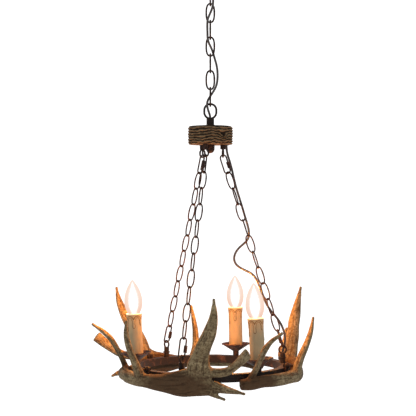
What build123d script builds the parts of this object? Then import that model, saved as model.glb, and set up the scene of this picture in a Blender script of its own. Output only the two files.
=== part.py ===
"""Antler chandelier: three candle lamps and three cast antlers on a ring hung by chains.

Millimetres, +Z up. The origin is on the ceiling, at the middle of the ceiling bracket.
"""
from build123d import *
import math
import os

os.makedirs("parts", exist_ok=True)

# ------------------------------------------------------------------ driving dimensions
# Ceiling rose and its bracket
BRACKET_LENGTH = 92.0
BRACKET_WIDTH = 20.0
BRACKET_THICK = 2.0
BRACKET_DROP = 9.0            # how far the middle of the bent bar stands below its feet
BRACKET_FOOT = 22.0
CEILING_HOLE_SPACING = 70.0
CEILING_SLOT_LENGTH = 9.0
CEILING_SLOT_WIDTH = 4.6
ROSE_DIAMETER = 108.0
ROSE_HEIGHT = 22.0
ROSE_WALL = 1.6
ROSE_RIM = 4.0
ROSE_BOSS = 26.0
ROSE_NUT_DIAMETER = 22.0
ROSE_NUT_HEIGHT = 5.0
ROSE_NUT_TRAVEL = 6.0
ROSE_NUT_FLUTES = 12
ROSE_NUT_FLUTE = 2.4
LOCKNUT_FLATS = 14.0
LOCKNUT_HEIGHT = 4.0
TERMINAL_LENGTH = 22.0
TERMINAL_WIDTH = 8.0
TERMINAL_HEIGHT = 9.0
TERMINAL_PLACE = 31.0
TERMINAL_PITCH = 7.0
TERMINAL_BORE = 3.2

# Hollow stem and loop, the same stock for the rose and the hub
STEM_DIAMETER = 10.0
STEM_BORE = 6.0
COLLAR_DIAMETER = 15.0
LOOP_WIRE = 4.2
ROSE_LOOP_OUTER = 26.0
ROSE_COLLAR_HEIGHT = 5.0
HUB_LOOP_WIDTH = 27.7
HUB_LOOP_HEIGHT = 32.4
HUB_COLLAR_HEIGHT = 16.5
HUB_FLANGE_DIAMETER = 17.5
HUB_FLANGE_HEIGHT = 3.0
LOOP_IN_COLLAR = 1.0          # how far a loop's bar centre sits inside its collar
ROSE_LOOP_IN_COLLAR = 2.5

# Chains
LINK_GAP = 0.3                # running gap where two links hook together
FOOT_GAP = 0.6                # the same where a side chain hooks in the ring's eyebolt
MAIN_LINKS = 7
MAIN_LINK_LENGTH = 39.4
MAIN_LINK_WIDTH = 19.0
MAIN_LINK_WIRE = 3.2
SIDE_LINKS = 10
SIDE_LINK_LENGTH = 37.3
SIDE_LINK_WIDTH = 15.6
SIDE_LINK_WIRE = 2.2
QUICK_LENGTH = 40.3
QUICK_WIDTH = 15.5
QUICK_WIRE = 3.0
QUICK_GAP = 6.0
QUICK_NUT_LENGTH = 13.0
QUICK_NUT_FLATS = 6.4
QUICK_NUT_GRIP = 2.5          # how far the nut reaches over the bar below the gap
QUICK_NUT_REST = 3.0          # from the foot of the straight side up to the nut at rest

# Hub
HUB_DIAMETER = 89.0
HUB_HEIGHT = 35.5
HUB_EDGE = 2.0
HUB_EYE_RADIUS = 25.0
HUB_EYE_DROP = 23.95          # eyebolt bar centre below the hub
HUB_EYE_WIDTH = 15.5
HUB_EYE_HEIGHT = 18.0
HUB_EYE_WIRE = 3.5
HUB_EYE_COLLAR = 10.5
HUB_EYE_COLLAR_HEIGHT = 9.0
HUB_EYE_SHANK = 6.0
HUB_EYE_DEPTH = 24.0
HUB_CORD_HOLE_DEPTH = 14.0
WASHER_DIAMETER = 19.0
WASHER_THICK = 2.0
DOME_NUT_DIAMETER = 17.0
DOME_NUT_HEIGHT = 15.0
DOME_NUT_GRIP = 8.0

# Ring, an upturned channel
RING_RADIUS = 144.0
RING_WIDTH = 14.0
RING_HEIGHT = 15.0
RING_WALL = 1.5
RING_EYE_RISE = 33.0          # eyebolt bar centre above the ring
RING_EYE_DIAMETER = 18.0
RING_EYE_WIRE = 3.4
RING_EYE_COLLAR = 10.3
RING_EYE_COLLAR_HEIGHT = 9.0
RING_EYE_FLANGE = 14.0
RING_EYE_FLANGE_HEIGHT = 2.0
RING_EYE_STEM = 10.6
RING_EYE_SHANK = 5.0
RING_NUT_FLATS = 8.0
RING_NUT_HEIGHT = 4.0

# Lamps
NECK_DIAMETER = 12.0
NECK_HEIGHT = 10.0
NIPPLE_DIAMETER = 8.0
NIPPLE_BORE = 5.2
NIPPLE_IN_HOLDER = 6.0
LAMP_NUT_DIAMETER = 10.6
PAN_DIAMETER = 58.8
PAN_DEPTH = 14.5
PAN_WALL = 1.6
PAN_FOOT = 13.0
PAN_RIM_WIRE = 2.4
CANDLE_DIAMETER = 27.2
CANDLE_WALL = 1.3
CANDLE_HEIGHT = 84.8
HOLDER_FIT = 0.4              # radial, the wax sleeve over its holder
HOLDER_FOOT_RISE = 1.8        # holder's foot above the candle's
HOLDER_DEPTH_BELOW_CANDLE_TOP = 14.0
CAP_DIAMETER = 13.84
CAP_HEIGHT = 22.0
CAP_RISE = 2.0                # cap standing above its holder
BULB_DIAMETER = 35.0
BULB_ABOVE_CANDLE = 65.0
GLASS_GAP = 0.8375            # radial, the glass inside the candle's top
GLASS_WALL = 1.0
LAMP_LEAN = (-3.0, -0.8, -3.1)  # degrees about Y, lamp by lamp

# Antlers and their fixings
ANTLER_TIP = 1.4
ANTLER_LAYOUT_RADIUS = 151.0  # outside of the ring that the antler tables were measured round
ANTLER_DATUM_RISE = 305.0     # height above the ring that the antler tables count down from
ARM_DIAMETER = 10.0
ARM_BALL = 10.4
ARM_BOSS = 8.0
ARM_REACH = 4.5               # ball centre outside the ring
ARM_RISE = 4.2                # ball centre above the ring's top
ARM_FLAT = 4.3                # from the ball's centre back to the flat under a screw head
SEAT_STANDOFF = 10.0          # from the ring to the flat cut in the antler for the arm's boss
SEAT_DIAMETER = 12.0
SCREW_SHANK = 4.5
SCREW_HEAD = 7.2
SCREW_HEAD_HEIGHT = 2.6
SCREW_BITE = 10.0

# Cords
CORD_DIAMETER = 4.4
WIRING_DIAMETER = 4.0
GROMMET_FLANGE = 9.0
GROMMET_BODY = 7.6
GROMMET_LENGTH = 6.0
GROMMET_FLANGE_THICK = 1.2

# Clearances
SHAFT_FIT = 0.05              # radial, a shaft or thread in its hole
FREE_FIT = 0.3                # radial, a loose hole round a bolt
CORD_FIT = 0.2                # radial, a cord in its grommet

# Where things stand round the axis, in degrees anticlockwise from +X
CHAIN_ANGLES = {"a": 128.3, "b": 248.3, "c": 8.3}
# Turn of each link about its own chain, top to bottom, from the plane of the chain and the axis
TOP_QUICK_TURNS = {"a": 180, "b": 0, "c": 9}
LINK_TURNS = {"a": (90, 0, 90, 0, 90, 0, 90, 0, 90, 0), "b": (90, 0, 90, 0, 90, 0, 90, 0, 90, 0),
              "c": (144, 66, 156, 80, 168, 99, 18, 150, 47, 142)}
FOOT_QUICK_TURNS = {"a": 270, "b": 90, "c": 90}
LAMP_ANGLES = (188.3, 68.3, 308.3)
ANTLER_TURNS = {"a": 0.0, "b": 120.0, "c": 240.0}
SIDE_CORD_HUB_PLACE = (31.6, 11.4)
SIDE_CORD_RING_ANGLE = 14.46

# ------------------------------------------------------------------ worked-out levels
STEM_RADIUS = STEM_DIAMETER / 2
BRACKET_UNDERSIDE = -BRACKET_DROP - BRACKET_THICK
ROSE_NUT_TOP = -ROSE_HEIGHT
ROSE_NUT_BOTTOM = ROSE_NUT_TOP - ROSE_NUT_HEIGHT
ROSE_COLLAR_TOP = ROSE_NUT_BOTTOM - ROSE_NUT_TRAVEL - LINK_GAP
ROSE_COLLAR_BOTTOM = ROSE_COLLAR_TOP - ROSE_COLLAR_HEIGHT
ROSE_LOOP_REACH = ROSE_LOOP_OUTER - LOOP_WIRE
ROSE_BAR = ROSE_COLLAR_BOTTOM + ROSE_LOOP_IN_COLLAR - ROSE_LOOP_REACH

MAIN_REACH = MAIN_LINK_LENGTH - MAIN_LINK_WIRE
MAIN_PITCH = MAIN_REACH - MAIN_LINK_WIRE - LINK_GAP
FIRST_LINK_TOP = ROSE_BAR + (LOOP_WIRE + MAIN_LINK_WIRE) / 2 + LINK_GAP
LAST_LINK_BOTTOM = FIRST_LINK_TOP - (MAIN_LINKS - 1) * MAIN_PITCH - MAIN_REACH
HUB_LOOP_REACH = HUB_LOOP_HEIGHT - LOOP_WIRE
HUB_LOOP_BAR = LAST_LINK_BOTTOM + (LOOP_WIRE + MAIN_LINK_WIRE) / 2 + LINK_GAP
HUB_COLLAR_TOP = HUB_LOOP_BAR - HUB_LOOP_REACH + LOOP_IN_COLLAR
HUB_TOP = HUB_COLLAR_TOP - HUB_COLLAR_HEIGHT
HUB_BOTTOM = HUB_TOP - HUB_HEIGHT
HUB_EYE_BAR = HUB_BOTTOM - HUB_EYE_DROP

SIDE_REACH = SIDE_LINK_LENGTH - SIDE_LINK_WIRE
QUICK_REACH = QUICK_LENGTH - QUICK_WIRE


def hook_step(wire_above, wire_below):
    """How far a hooked link's bar stands back over the bar it hooks round."""
    return (wire_above + wire_below) / 2 + LINK_GAP


# Distances down a side chain, from the hub eyebolt's bar to the ring eyebolt's bar
TOP_QUICK_START = -hook_step(HUB_EYE_WIRE, QUICK_WIRE)
SIDE_START = TOP_QUICK_START + QUICK_REACH - hook_step(QUICK_WIRE, SIDE_LINK_WIRE)
SIDE_PITCH = SIDE_REACH - hook_step(SIDE_LINK_WIRE, SIDE_LINK_WIRE)
SIDE_END = SIDE_START + (SIDE_LINKS - 1) * SIDE_PITCH + SIDE_REACH
FOOT_QUICK_START = SIDE_END - hook_step(SIDE_LINK_WIRE, QUICK_WIRE)
SIDE_SPAN = FOOT_QUICK_START + QUICK_REACH - (QUICK_WIRE + RING_EYE_WIRE) / 2 - FOOT_GAP
SIDE_SPREAD = RING_RADIUS - HUB_EYE_RADIUS
SIDE_DROP = math.sqrt(SIDE_SPAN ** 2 - SIDE_SPREAD ** 2)
CHAIN_SLOPE = math.degrees(math.atan2(SIDE_SPREAD, SIDE_DROP))
RING_EYE_BAR = HUB_EYE_BAR - SIDE_DROP
RING_TOP = RING_EYE_BAR - RING_EYE_RISE
RING_OUTER = RING_RADIUS + RING_WIDTH / 2
RING_INNER = RING_RADIUS - RING_WIDTH / 2
SEAT_RADIUS = RING_OUTER + SEAT_STANDOFF
WEB_UNDERSIDE = RING_TOP - RING_WALL

# Heights in a lamp's own frame, above the ring
PAN_TOP = NECK_HEIGHT + PAN_DEPTH
PAN_SLOPE = PAN_DEPTH / ((PAN_DIAMETER - PAN_FOOT) / 2)
CANDLE_RADIUS = CANDLE_DIAMETER / 2
CANDLE_BASE = NECK_HEIGHT + PAN_WALL + (CANDLE_RADIUS - PAN_FOOT / 2) * PAN_SLOPE + 0.1
CANDLE_TOP = CANDLE_BASE + CANDLE_HEIGHT
HOLDER_TOP = CANDLE_TOP - HOLDER_DEPTH_BELOW_CANDLE_TOP
HOLDER_BASE = CANDLE_BASE + HOLDER_FOOT_RISE
HOLDER_DIAMETER = CANDLE_DIAMETER - 2 * CANDLE_WALL - 2 * HOLDER_FIT
CAP_TOP = HOLDER_TOP + CAP_RISE


# ------------------------------------------------------------------ small helpers
def rod(diameter, bottom, top, x=0.0, y=0.0):
    """Upright cylinder between two heights."""
    return Pos(x, y, (bottom + top) / 2) * Cylinder(diameter / 2, top - bottom)


def spun(points):
    """Solid of revolution about Z from a closed outline of (radius, height) points."""
    outline = make_face(Plane.XZ * Polyline(*points, close=True))
    return revolve(outline, Axis.Z)


def hexagon(flats, bottom, top):
    """Upright hexagonal prism across the given flats."""
    face = Plane.XY.offset(bottom) * RegularPolygon(flats / 2, 6, major_radius=False)
    return extrude(face, top - bottom)


def around(angle, radius, height):
    """Place on a circle round the axis, with local +X pointing outwards."""
    return Rot(0, 0, angle) * Pos(radius, 0, height)


def oval(length, width, wire):
    """Closed oval of round wire in the XZ plane, long axis Z, centred at the origin."""
    bend = (width - wire) / 2
    half = (length - width) / 2
    sides = Pos(bend, 0, 0) * Cylinder(wire / 2, 2 * half)
    sides += Pos(-bend, 0, 0) * Cylinder(wire / 2, 2 * half)
    end = Rot(90, 0, 0) * Torus(bend, wire / 2, major_angle=180, align=None)
    return sides + Pos(0, 0, half) * end + Pos(0, 0, -half) * Rot(0, 180, 0) * end


def export(shape, node):
    """Write one node."""
    export_step(shape, f"parts/{node}.step")


def export_group(shapes, node):
    """Write several separate solids as one node."""
    export(Compound(children=[solid for shape in shapes for solid in shape.solids()]), node)


# ------------------------------------------------------------------ ceiling end
def ceiling_bracket():
    """Bent bar with two slotted screw holes and a hole for the stem."""
    half = BRACKET_LENGTH / 2
    foot = half - BRACKET_FOOT
    middle = foot - BRACKET_DROP * 0.8
    top_line = [(-half, 0), (-foot, 0), (-middle, -BRACKET_DROP),
                (middle, -BRACKET_DROP), (foot, 0), (half, 0)]
    low_line = [(x, z - BRACKET_THICK) for x, z in reversed(top_line)]
    outline = make_face(Plane.XZ * Polyline(*(top_line + low_line), close=True))
    bar = extrude(outline, BRACKET_WIDTH / 2, both=True)
    bar -= rod(STEM_DIAMETER + 2 * SHAFT_FIT, BRACKET_UNDERSIDE - 1, 1)
    for side in (-1, 1):
        slot = Plane.XY * SlotOverall(CEILING_SLOT_LENGTH, CEILING_SLOT_WIDTH)
        bar -= Pos(side * CEILING_HOLE_SPACING / 2, 0, 0) * extrude(slot, 5, both=True)
    return bar


def rose_cup():
    """Pressed cup that hides the bracket."""
    outer = ROSE_DIAMETER / 2
    boss = ROSE_BOSS / 2
    hole = STEM_RADIUS + FREE_FIT

    def dome(rim, boss_edge, crown):
        """Side wall, shoulder arc and flat crown of one skin of the cup."""
        shoulder = (rim * 0.62 + boss_edge * 0.38, -ROSE_RIM - (-crown - ROSE_RIM) * 0.83)
        wall = Line((rim, 0), (rim, -ROSE_RIM))
        curve = ThreePointArc((rim, -ROSE_RIM), shoulder, (boss_edge, crown))
        return wall + curve + Line((boss_edge, crown), (hole, crown))

    crown = -ROSE_HEIGHT
    outside = dome(outer, boss, crown)
    inside = dome(outer - ROSE_WALL, boss, crown + ROSE_WALL)
    ends = Line((outer - ROSE_WALL, 0), (outer, 0))
    ends += Line((hole, crown), (hole, crown + ROSE_WALL))
    return revolve(make_face(Plane.XZ * (outside + inside + ends)), Axis.Z)


def rose_nut():
    """Round nut with finger flutes that holds the cup up on the stem."""
    nut = rod(ROSE_NUT_DIAMETER, ROSE_NUT_BOTTOM, ROSE_NUT_TOP)
    flute = rod(ROSE_NUT_FLUTE, ROSE_NUT_BOTTOM - 1, ROSE_NUT_TOP + 1, ROSE_NUT_DIAMETER / 2 + 0.5)
    for turn in range(ROSE_NUT_FLUTES):
        nut -= Rot(0, 0, 360 / ROSE_NUT_FLUTES * turn) * flute
    return nut - rod(STEM_DIAMETER + 2 * SHAFT_FIT, ROSE_NUT_BOTTOM - 1, ROSE_NUT_TOP + 1)


def rose_loop():
    """Hollow stem, collar and round loop that the chain hooks on."""
    stem_top = -BRACKET_DROP + LOCKNUT_HEIGHT
    ring_centre = ROSE_BAR + ROSE_LOOP_REACH / 2
    loop = Pos(0, 0, ring_centre) * Rot(90, 0, 0) * Torus(ROSE_LOOP_REACH / 2, LOOP_WIRE / 2)
    body = loop + rod(STEM_DIAMETER, ROSE_COLLAR_TOP, stem_top)
    body += rod(COLLAR_DIAMETER, ROSE_COLLAR_BOTTOM, ROSE_COLLAR_TOP)
    return body - rod(STEM_BORE, ROSE_COLLAR_BOTTOM - LOOP_WIRE / 2, stem_top + 1)


def stem_locknut():
    """Nut that holds the stem in the bracket."""
    nut = hexagon(LOCKNUT_FLATS, -BRACKET_DROP, -BRACKET_DROP + LOCKNUT_HEIGHT)
    return nut - rod(STEM_DIAMETER + 2 * SHAFT_FIT, -BRACKET_DROP - 1, 1)


def terminal_block():
    """Three-way strip for the supply wires, under the foot of the bracket."""
    height = -BRACKET_THICK - TERMINAL_HEIGHT / 2
    block = Box(TERMINAL_WIDTH, TERMINAL_LENGTH, TERMINAL_HEIGHT)
    block = Pos(-TERMINAL_PLACE, 0, height) * fillet(block.edges().filter_by(Axis.Z), 1.0)
    for way in (-1, 0, 1):
        wire_hole = Rot(0, 90, 0) * Cylinder(TERMINAL_BORE / 2, TERMINAL_WIDTH + 2)
        block -= Pos(-TERMINAL_PLACE, way * TERMINAL_PITCH, height) * wire_hole
    return block


# ------------------------------------------------------------------ hub
def hub_loop():
    """Oval loop, collar, flange and the hollow stem that runs through the hub."""
    centre = HUB_LOOP_BAR - HUB_LOOP_REACH / 2
    stem_end = HUB_BOTTOM - WASHER_THICK - DOME_NUT_GRIP
    body = Pos(0, 0, centre) * oval(HUB_LOOP_HEIGHT, HUB_LOOP_WIDTH, LOOP_WIRE)
    body += rod(COLLAR_DIAMETER, HUB_TOP, HUB_COLLAR_TOP)
    body += rod(HUB_FLANGE_DIAMETER, HUB_TOP, HUB_TOP + HUB_FLANGE_HEIGHT)
    body += rod(STEM_DIAMETER, stem_end, HUB_TOP)
    return body - rod(STEM_BORE, HUB_BOTTOM + 6, HUB_COLLAR_TOP + LOOP_WIRE / 2)


def hub_log():
    """Log slice with holes for the stem, the eyebolts and the cord."""
    log = rod(HUB_DIAMETER, HUB_BOTTOM, HUB_TOP)
    log = fillet(log.edges(), HUB_EDGE)
    log -= rod(STEM_DIAMETER + 2 * FREE_FIT, HUB_BOTTOM - 1, HUB_TOP + 1)
    for angle in CHAIN_ANGLES.values():
        hole = rod(HUB_EYE_SHANK + 2 * SHAFT_FIT, HUB_BOTTOM - 1, HUB_BOTTOM + HUB_EYE_DEPTH + 0.5)
        log -= around(angle, HUB_EYE_RADIUS, 0) * hole
    x, y = SIDE_CORD_HUB_PLACE
    cord_hole = rod(GROMMET_BODY + 2 * SHAFT_FIT, HUB_BOTTOM - 1, HUB_BOTTOM + HUB_CORD_HOLE_DEPTH, x, y)
    return log - cord_hole


def hub_washer():
    """Flat washer under the hub."""
    washer = rod(WASHER_DIAMETER, HUB_BOTTOM - WASHER_THICK, HUB_BOTTOM)
    return washer - rod(STEM_DIAMETER + 2 * FREE_FIT, HUB_BOTTOM - WASHER_THICK - 1, HUB_BOTTOM + 1)


def hub_dome_nut():
    """Domed cap nut on the end of the hub's stem."""
    top = HUB_BOTTOM - WASHER_THICK
    radius = DOME_NUT_DIAMETER / 2
    nut = Pos(0, 0, top - DOME_NUT_HEIGHT + radius) * Sphere(radius)
    nut -= rod(2 * DOME_NUT_DIAMETER, top - DOME_NUT_HEIGHT + radius, top + DOME_NUT_DIAMETER)
    nut += rod(DOME_NUT_DIAMETER, top - DOME_NUT_HEIGHT + radius, top)
    return nut - rod(STEM_DIAMETER + 2 * SHAFT_FIT, top - DOME_NUT_GRIP - 0.3, top + 1)


def hub_eyebolt():
    """Eyebolt under the hub in its own frame: hub underside at 0, loop across local X."""
    centre = -HUB_EYE_DROP + (HUB_EYE_HEIGHT - HUB_EYE_WIRE) / 2
    bolt = Pos(0, 0, centre) * Rot(0, 0, 90) * oval(HUB_EYE_HEIGHT, HUB_EYE_WIDTH, HUB_EYE_WIRE)
    bolt += rod(HUB_EYE_COLLAR, -HUB_EYE_COLLAR_HEIGHT, 0)
    return bolt + rod(HUB_EYE_SHANK, 0, HUB_EYE_DEPTH)


def grommet(panel):
    """Rubber bush round a cord, flange under its panel, body up through it."""
    bush = rod(GROMMET_BODY, -0.5, panel)
    bush += rod(GROMMET_FLANGE, -GROMMET_FLANGE_THICK, 0)
    return bush - rod(CORD_DIAMETER + 2 * CORD_FIT, -GROMMET_FLANGE_THICK - 1, panel + 1)


# ------------------------------------------------------------------ side chains
def down_chain(angle, distance, roll):
    """Place at a distance down a side chain, local -Z down the chain, plane set by roll."""
    start = around(angle, HUB_EYE_RADIUS, HUB_EYE_BAR)
    return start * Rot(0, -CHAIN_SLOPE, 0) * Pos(0, 0, -distance) * Rot(0, 0, roll)


def quick_link():
    """Quick link body in the XZ plane with the open stretch of its +X side cut out."""
    body = oval(QUICK_LENGTH, QUICK_WIDTH, QUICK_WIRE)
    return body - Pos((QUICK_WIDTH - QUICK_WIRE) / 2, 0, quick_gap_centre()) * Box(
        2 * QUICK_WIRE, 2 * QUICK_WIRE, QUICK_GAP)


def quick_gap_centre():
    """Height of the middle of a quick link's gap in its own frame."""
    straight_foot = -(QUICK_LENGTH - QUICK_WIDTH) / 2
    return straight_foot + QUICK_NUT_REST + QUICK_NUT_GRIP + QUICK_GAP / 2


def quick_nut():
    """Hexagonal sleeve nut that closes a quick link, at rest over the gap."""
    bottom = quick_gap_centre() - QUICK_GAP / 2 - QUICK_NUT_GRIP
    top = bottom + QUICK_NUT_LENGTH
    nut = hexagon(QUICK_NUT_FLATS, bottom, top)
    nut -= rod(QUICK_WIRE + 2 * SHAFT_FIT, bottom - 1, top + 1)
    return Pos((QUICK_WIDTH - QUICK_WIRE) / 2, 0, 0) * nut


def side_chain(letter):
    """The ten links of one side chain, each at its own turn."""
    link = oval(SIDE_LINK_LENGTH, SIDE_LINK_WIDTH, SIDE_LINK_WIRE)
    links = []
    for number in range(SIDE_LINKS):
        middle = SIDE_START + number * SIDE_PITCH + SIDE_REACH / 2
        turn = LINK_TURNS[letter][number]
        links.append(down_chain(CHAIN_ANGLES[letter], middle, turn) * link)
    return links


# ------------------------------------------------------------------ ring
def ring():
    """Upturned channel with holes for eyebolts, lamp nipples and the cord."""
    bottom = RING_TOP - RING_HEIGHT
    channel = spun([(RING_INNER, bottom), (RING_INNER, RING_TOP), (RING_OUTER, RING_TOP),
                    (RING_OUTER, bottom), (RING_OUTER - RING_WALL, bottom),
                    (RING_OUTER - RING_WALL, WEB_UNDERSIDE),
                    (RING_INNER + RING_WALL, WEB_UNDERSIDE), (RING_INNER + RING_WALL, bottom)])
    for angle in CHAIN_ANGLES.values():
        hole = rod(RING_EYE_SHANK + 2 * SHAFT_FIT, WEB_UNDERSIDE - 1, RING_TOP + 1)
        channel -= around(angle, RING_RADIUS, 0) * hole
    for angle in LAMP_ANGLES:
        hole = rod(NIPPLE_DIAMETER + 2 * FREE_FIT, WEB_UNDERSIDE - 1, RING_TOP + 1)
        channel -= around(angle, RING_RADIUS, 0) * hole
    cord_hole = rod(GROMMET_BODY + 2 * SHAFT_FIT, WEB_UNDERSIDE - 1, RING_TOP + 1)
    return channel - around(SIDE_CORD_RING_ANGLE, RING_RADIUS, 0) * cord_hole


def ring_eyebolt():
    """Eyebolt on the ring in its own frame: ring top at 0, loop along local X."""
    reach = (RING_EYE_DIAMETER - RING_EYE_WIRE) / 2
    collar_top = RING_EYE_RISE - 2 * reach + 1.5
    collar_bottom = collar_top - RING_EYE_COLLAR_HEIGHT
    flange_bottom = collar_bottom - RING_EYE_FLANGE_HEIGHT
    bolt = Pos(0, 0, RING_EYE_RISE - reach) * Rot(90, 0, 0) * Torus(reach, RING_EYE_WIRE / 2)
    bolt += rod(RING_EYE_COLLAR, collar_bottom, collar_top)
    bolt += rod(RING_EYE_FLANGE, flange_bottom, collar_bottom)
    bolt += rod(RING_EYE_STEM, 0, flange_bottom)
    return bolt + rod(RING_EYE_SHANK, -RING_WALL - RING_NUT_HEIGHT - 0.5, 0)


def ring_eye_nut():
    """Nut under the ring's web on an eyebolt's shank."""
    nut = hexagon(RING_NUT_FLATS, -RING_WALL - RING_NUT_HEIGHT, -RING_WALL)
    return nut - rod(RING_EYE_SHANK + 2 * SHAFT_FIT, -RING_WALL - RING_NUT_HEIGHT - 1, 0)


def ring_wiring():
    """Lamp wires laid in the channel against its inner wall."""
    radius = RING_INNER + RING_WALL + WIRING_DIAMETER / 2 + LINK_GAP
    height = WEB_UNDERSIDE - RING_NUT_HEIGHT - 2.0 - WIRING_DIAMETER / 2
    return Pos(0, 0, height) * Torus(radius, WIRING_DIAMETER / 2)


# ------------------------------------------------------------------ lamps
def lamp_place(number):
    """A lamp's own frame: foot on the ring's top, leaning as it stands."""
    angle = math.radians(LAMP_ANGLES[number])
    foot = Pos(RING_RADIUS * math.cos(angle), RING_RADIUS * math.sin(angle), RING_TOP)
    return foot * Rot(0, LAMP_LEAN[number], 0)


def lamp_neck(number, channel):
    """Hollow nipple with a shoulder, trimmed flush to the ring."""
    neck = rod(NECK_DIAMETER, -1.0, NECK_HEIGHT)
    neck = lamp_place(number) * neck - channel
    keep = rod(4 * NECK_DIAMETER, RING_TOP, RING_TOP + 2 * NECK_HEIGHT)
    angle = math.radians(LAMP_ANGLES[number])
    keep = Pos(RING_RADIUS * math.cos(angle), RING_RADIUS * math.sin(angle), 0) * keep
    shoulder = neck & keep
    nipple = rod(NIPPLE_DIAMETER, -RING_WALL - RING_NUT_HEIGHT - 0.7, HOLDER_BASE + NIPPLE_IN_HOLDER)
    bore = rod(NIPPLE_BORE, -RING_WALL - RING_NUT_HEIGHT - 2, HOLDER_BASE + NIPPLE_IN_HOLDER + 1)
    return shoulder + lamp_place(number) * nipple - lamp_place(number) * bore


def lamp_nut(number):
    """Round nut under the web, square to the ring, loose round the leaning nipple."""
    nut = rod(LAMP_NUT_DIAMETER, WEB_UNDERSIDE - RING_NUT_HEIGHT, WEB_UNDERSIDE)
    nut -= rod(NIPPLE_DIAMETER + 2 * FREE_FIT, WEB_UNDERSIDE - RING_NUT_HEIGHT - 1, RING_TOP)
    return around(LAMP_ANGLES[number], RING_RADIUS, 0) * nut


def drip_pan():
    """Shallow cone with a rolled rim."""
    foot = PAN_FOOT / 2
    edge = PAN_DIAMETER / 2 - PAN_RIM_WIRE / 2
    hole = NIPPLE_DIAMETER / 2 + SHAFT_FIT
    rim_height = NECK_HEIGHT + (edge - foot) * PAN_SLOPE
    pan = spun([(hole, NECK_HEIGHT), (foot, NECK_HEIGHT), (edge, rim_height),
                (edge, rim_height + PAN_WALL), (foot, NECK_HEIGHT + PAN_WALL),
                (hole, NECK_HEIGHT + PAN_WALL)])
    return pan + Pos(0, 0, rim_height + PAN_WALL / 2) * Torus(edge, PAN_RIM_WIRE / 2)


def lampholder():
    """Candle lampholder: a tube on the nipple with the bulb's socket at its top."""
    socket_floor = CAP_TOP - CAP_HEIGHT - LINK_GAP
    body = rod(HOLDER_DIAMETER, HOLDER_BASE, HOLDER_TOP)
    body -= rod(NIPPLE_DIAMETER + 2 * SHAFT_FIT, HOLDER_BASE - 1, HOLDER_BASE + NIPPLE_IN_HOLDER)
    return body - rod(CAP_DIAMETER + 2 * SHAFT_FIT, socket_floor, HOLDER_TOP + 1)


def candle():
    """Wax sleeve over the lampholder."""
    sleeve = rod(CANDLE_DIAMETER, CANDLE_BASE, CANDLE_TOP)
    return sleeve - rod(CANDLE_DIAMETER - 2 * CANDLE_WALL, CANDLE_BASE - 1, CANDLE_TOP + 1)


def bulb_cap():
    """E14 screw cap with its centre contact."""
    radius = CAP_DIAMETER / 2
    foot = CAP_TOP - CAP_HEIGHT
    return spun([(0, foot), (2.5, foot), (2.5, foot + 1), (5.6, foot + 3.4),
                 (radius, foot + 4.6), (radius, CAP_TOP), (0, CAP_TOP)])


def flame(inset):
    """Flame shape on the cap, wide at a third of its height, drawn in by an inset."""
    wide = BULB_DIAMETER / 2
    top = CANDLE_TOP + BULB_ABOVE_CANDLE - 2 * inset
    mouth = CANDLE_RADIUS - CANDLE_WALL - GLASS_GAP
    tip_radius = 1.0
    skin = [(CAP_DIAMETER / 2, CAP_TOP), (mouth, CANDLE_TOP), (wide * 0.90, CANDLE_TOP + 10),
            (wide, CANDLE_TOP + 21), (wide * 0.915, CANDLE_TOP + 35), (wide * 0.66, CANDLE_TOP + 48)]
    skin = [(radius - inset, height) for radius, height in skin]
    outline = Spline(*skin, (wide * 0.30 - inset / 2, top - 6.0), (tip_radius, top - 0.5))
    tip = Line((tip_radius, top - 0.5), (0, top))
    axis = Line((0, top), (0, CAP_TOP))
    foot = Line((0, CAP_TOP), skin[0])
    return revolve(make_face(Plane.XZ * (outline + tip + axis + foot)), Axis.Z)


def bulb_glass():
    """Thin glass envelope, open at its foot where it sits on the cap."""
    return flame(0) - flame(GLASS_WALL)


# ------------------------------------------------------------------ antlers
def antler_point(angle, radius, depth):
    """Point round the axis, kept at its distance from the ring, depth counted down from the datum."""
    turn = math.radians(angle)
    out = radius + RING_OUTER - ANTLER_LAYOUT_RADIUS
    return Vector(out * math.cos(turn), out * math.sin(turn), RING_TOP + ANTLER_DATUM_RISE - depth)


def horn(stations, wide_way):
    """Loft through ellipses: each station is (point, half size along wide_way, other half)."""
    faces = []
    for number, (point, wide, thin) in enumerate(stations):
        before = stations[max(number - 1, 0)][0]
        after = stations[min(number + 1, len(stations) - 1)][0]
        along = (after - before).normalized()
        across = (wide_way - along * wide_way.dot(along)).normalized()
        plane = Plane(origin=point, x_dir=across, z_dir=along)
        faces.append(plane * Ellipse(wide, thin))
    return loft(faces)


# Beam: angle, radius, depth, half height, half thickness
BEAM = ((169.5, 164, 324, 10.0, 9.0), (176, 165, 322, 12.3, 10.8), (186, 168, 319.5, 12.0, 11.0),
        (198, 169.5, 319.5, 12.0, 11.0), (210, 170.5, 319.5, 12.5, 11.5),
        (222, 171, 319.8, 13.2, 12.0), (232, 170, 321, 14.3, 12.0), (243, 168, 321, 20.0, 12.0),
        (253, 168, 319, 25.0, 12.0), (262, 170, 313.5, 28.0, 12.0), (270.5, 172, 313.5, 27.5, 9.5))
BROW_TINE = ((175.5, 164, 318, 7.0, 7.0), (178.7, 171, 297.7, 5.8, 5.8), (180, 180, 278.7, 5.6, 5.6),
             (181, 193.6, 256.4, 6.0, 5.6), (182.1, 207.8, 241.2, 5.0, 4.6),
             (183.4, 221, 231.5, 3.4, 3.2), (184.2, 230, 225, ANTLER_TIP, ANTLER_TIP))
SECOND_TINE = ((222, 172, 318, 9.5, 9.5), (220.5, 177, 302, 8.6, 8.2), (219.5, 184, 283, 7.4, 7.0),
               (219.3, 193, 262, 6.6, 6.2), (219.8, 201, 240, 5.6, 5.2),
               (220.6, 205, 220, 3.8, 3.4), (221.3, 206, 207, ANTLER_TIP, ANTLER_TIP))
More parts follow.
